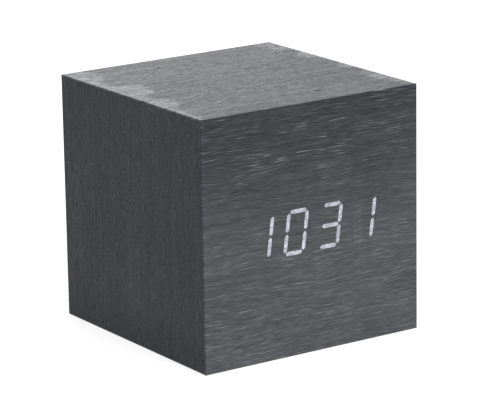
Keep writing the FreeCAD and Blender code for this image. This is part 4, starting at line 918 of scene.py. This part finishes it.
def block(name, low, high, edge, material):
    """Oblong piece whose corners are all rounded a little."""
    loops = []
    for inset, y in ((edge, low.y), (0.0, low.y + edge), (0.0, high.y - edge), (edge, high.y)):
        corners = [(low.x + inset, low.z + inset), (high.x - inset, low.z + inset)]
        corners += [(high.x - inset, high.z - inset), (low.x + inset, high.z - inset)]
        loops.append(rounded([Vector((x, y, z)) for x, z in corners], edge, 3))
    ends = [sum(loop, Vector()) / len(loop) for loop in (loops[0], loops[-1])]
    return lofted(name, [[ends[0]], *loops, [ends[1]]], material)


mouth = inlet_high.y
floor_y = tongue_low.y
loops = [[Vector((inlet_middle.x, inlet_low.y, inlet_middle.z))], shell_loop(0.0, inlet_low.y)]
loops += [shell_loop(0.0, mouth - lip * mm), shell_loop(lip, mouth), shell_loop(shell_wall - lip, mouth)]
loops += [shell_loop(shell_wall, mouth - lip * mm), shell_loop(shell_wall, floor_y)]
loops += [[Vector((inlet_middle.x, floor_y, inlet_middle.z))]]
stand_in(lofted("inlet_shell", loops, nickel), "power_inlet", "case")
tongue = block("contact_tongue", tongue_low, tongue_high, tongue_edge * mm, black_plastic)
stand_in(tongue, "inlet_tongue", "case")
for number in range(5):
    x = (tongue_low.x + tongue_high.x) / 2 + (number - 2) * strip_pitch * mm
    low = Vector((x - strip_half * mm, floor_y + strip_back * mm, tongue_low.z - strip_proud * mm))
    high = Vector((x + strip_half * mm, tongue_high.y - strip_front * mm, tongue_low.z + strip_sunk * mm))
    strip = block(f"contact_strip_{number + 1}", low, high, strip_edge * mm, nickel)
    stand_in(strip, "inlet_tongue", "case")

# Back screws and tray screws
# Black-oxide steel with a cross recess. Four pan heads are sunk in the back panel and two flat heads
# in the tray's flange.

black_oxide = plated_metal("black oxide steel", "#1A1A1B", "#2B2B2D", 0.4)
pan_rise = 1.7
pan_size = (2.6, pan_rise, 1.4, 14.0)
block_half = 4.0
low, high = (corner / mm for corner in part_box("corner_blocks"))
seat_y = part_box("back_screws")[1].y / mm - pan_rise
columns = (low.x + block_half, high.x - block_half)
rows = (low.z + block_half, high.z - block_half)
for number, (x, z) in enumerate([(x, z) for x in columns for z in rows], 1):
    name = f"back_screw_{number}"
    screw(name, "back_screws", black_oxide, (x, seat_y, z), (0, 1, 0), pan_size)

flat_rise = 1.2
flat_size = (2.2, flat_rise, 1.0, 4.3)
tray_screw_inset_x = 3.9
tray_screw_inset_y = 3.0
tray_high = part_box("battery_tray")[1] / mm
flange_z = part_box("battery_tray_screws")[0].z / mm + flat_rise
for number, side in enumerate((-1, 1), 1):
    name = f"battery_tray_screw_{number}"
    x = side * (tray_high.x - tray_screw_inset_x)
    y = side * (tray_high.y - tray_screw_inset_y)
    spot = (x, y, flange_z)
    screw(name, "battery_tray_screws", black_oxide, spot, (0, 0, -1), flat_size, flat=True)

# Cells
# Three zinc-carbon AAA cells in a plain printed film lie head to tail. The film is shrunk over both
# ends, and a washer insulates the nub.


def cell_film(name, dark, pale):
    """Shrunk printed film over a can: glossy, with faint pulls round the cell."""
    material, tree = new_material(name)
    shrunk = in_millimetres(tree, (3.0, 1.0, 1.0))
    pulls = add(tree, "TexNoise", {"Vector": shrunk, "Scale": 1.0})
    finish = {
        "Base Color": add(tree, "ValToRGB", [pulls], [(0.3, dark), (0.7, pale)]),
        "Roughness": 0.25,
        "IOR": 1.5,
        "Normal": add(tree, "Bump", {"Height": pulls, "Distance": 0.02 * mm}),
    }
    add(tree, "OutputMaterial", [add(tree, "BsdfPrincipled", finish)])
    return material


blue_film = cell_film("blue cell film", "#2C4A63", "#365A78")
pale_film = cell_film("pale cell band", "#B7B9BA", "#C6C8C8")
band_start = 33.5
film_round = 0.4
nub = 2.6
nub_round = 0.3
nub_rise = 1.0
cell_ways = (-1, 1, -1)
for number, way in enumerate(cell_ways, 1):
    node = f"cell_{number}"
    place, radius, length = on_base(node, (way, 0, 0))
    shoulder = length - nub_rise
    edge = radius - film_round
    film = [(edge - 0.45, 0.25), (edge - 0.4, 0.1), *quarter((edge, 0.5), film_round, 270.0)]
    film += [(radius, band_start)]
    band = [(radius, band_start), (radius, shoulder - 3.2), (radius - 0.14, shoulder - 2.8)]
    band += [(radius, shoulder - 2.4), *quarter((edge, shoulder - film_round), film_round, 0.0)]
    band += [(edge - 0.4, shoulder), (edge - 0.45, shoulder - 0.2)]
    can = [(0.0, 0.0), (edge - 0.8, 0.0), (edge - 0.65, 0.12), (edge - 0.3, 0.2), (edge - 0.3, 2.0)]
    washer = [(nub + 0.1, shoulder - 0.3), (nub + 0.1, shoulder - 0.12), (edge - 0.3, shoulder - 0.12)]
    washer += [(edge - 0.3, shoulder - 0.3)]
    tip = [(nub + 0.3, shoulder - 0.25), (nub + 0.05, shoulder - 0.2)]
    tip += [*quarter((nub - nub_round, length - nub_round), nub_round, 0.0), (0.0, length)]
    layers = [("film", film, blue_film, "cell_jacket"), ("band", band, pale_film, "cell_jacket")]
    layers += [("can", can, nickel, "nickel_plate"), ("washer", washer, black_plastic, "black_plastic")]
    layers += [("nub", tip, nickel, "nickel_plate")]
    for layer, profile, material, finish in layers:
        stand_in(turned(f"{node}_{layer}", profile, place, material), node, "case")

# Contacts and springs
# Contact plates of nickel-plated steel stand in the ends of the tray. Open conical springs press on
# the flat ends of the cells, wide coil outward.

dress(nickel, "positive_terminal", "negative_terminal", "bridge_contacts")
wire_radius = 0.25
coil_turns = 3.0
coil_wide = 3.6
coil_narrow = 2.2
coil_rise = 3.85
spring_room = 4.7
samples = 144
for number, way in enumerate(cell_ways, 1):
    flat_end = on_base(f"cell_{number}", (way, 0, 0))[0]
    place = flat_end @ Matrix.Translation((0, 0, -spring_room * mm))
    route = []
    for sample in range(samples + 1):
        share = sample / samples
        turn = 2 * math.pi * coil_turns * share
        reach = coil_wide + (coil_narrow - coil_wide) * share
        spot = Vector((reach * math.cos(turn), reach * math.sin(turn), wire_radius + coil_rise * share))
        route.append(place @ (spot * mm))
    spring = tube(f"spring_{number}", route, wire_radius * mm, nickel, 12)
    stand_in(spring, "contact_springs", "case")

# Studio
# A pale floor that reads as white carries the clock's soft shadow. Soft light comes from the upper
# right in front and, more weakly, from behind.


def looked_at(tree):
    """Give one for what the camera sees straight, in a reflection or through a clear piece."""
    rays = add(tree, "LightPath")
    seen = rays.outputs["Is Camera Ray"]
    for kind in ("Is Glossy Ray", "Is Transmission Ray"):
        seen = add(tree, "Math", [seen, rays.outputs[kind]], operation="MAXIMUM")
    return seen


def pale_floor():
    """White seamless floor that keeps a soft shadow and can be looked through from below."""
    material, tree = new_material("pale floor")
    matt = add(tree, "BsdfDiffuse", {"Color": linear("#C4C4C4")})
    glow = add(tree, "Emission", {"Color": (1, 1, 1, 1), "Strength": 0.8})
    floor = add(tree, "AddShader", [matt, glow])
    clear = add(tree, "BsdfTransparent")
    under = add(tree, "NewGeometry").outputs["Backfacing"]
    over = add(tree, "Math", [1.0, under], operation="SUBTRACT")
    shown = add(tree, "Math", [looked_at(tree), over], operation="MULTIPLY")
    add(tree, "OutputMaterial", [add(tree, "MixShader", [shown, clear, floor])])
    return material


floor_half = 3.0
floor_z = cad_low.z - 0.2 * mm
sides = [(-1, -1), (1, -1), (1, 1), (-1, 1)]
corners = [Vector((x * floor_half, y * floor_half, floor_z)) for x, y in sides]
floor = new_piece("floor", corners, [(0, 1, 2, 3)], pale_floor())

soft_level = 0.36
world = bpy.data.worlds.new("studio")
world.use_nodes = True
bpy.context.scene.world = world
tree = world.node_tree
tree.nodes.clear()
level = [looked_at(tree), 0.0, 1.0, soft_level, 1.0]
strength = add(tree, "MapRange", level, interpolation_type="SMOOTHSTEP")
sky = add(tree, "Background", {"Color": (1, 1, 1, 1), "Strength": strength})
add(tree, "OutputWorld", [sky])


def softbox(name, spot, size, power):
    """Square soft lamp that looks at the middle of the clock: metres and watts."""
    lamp = bpy.data.lights.new(name, "AREA")
    lamp.shape = "SQUARE"
    lamp.size = size
    lamp.energy = power
    stand = bpy.data.objects.new(name, lamp)
    target = (cad_low + cad_high) / 2
    stand.location = spot
    stand.rotation_mode = "QUATERNION"
    stand.rotation_quaternion = (target - stand.location).to_track_quat("-Z", "Y")
    bpy.context.scene.collection.objects.link(stand)


softbox("key softbox", Vector((0.25, -0.95, 1.0)), 0.6, 13.0)
softbox("back softbox", Vector((0.5, 1.1, 0.6)), 0.6, 6.0)

# The camera's lens, place and turn are fitted to the corners of the case in the photograph
camera = bpy.data.cameras.new("camera")
camera.sensor_width = 36.0
camera.lens = 223.0
camera.clip_start = 0.01
tripod = bpy.data.objects.new("camera", camera)
tripod.location = Vector((-506.0, -752.5, 280.9)) * mm
tripod.rotation_euler = [math.radians(angle) for angle in (74.92, 0.95, -34.19)]
bpy.context.scene.collection.objects.link(tripod)
bpy.context.scene.camera = tripod
bpy.context.scene.view_settings.view_transform = "Standard"
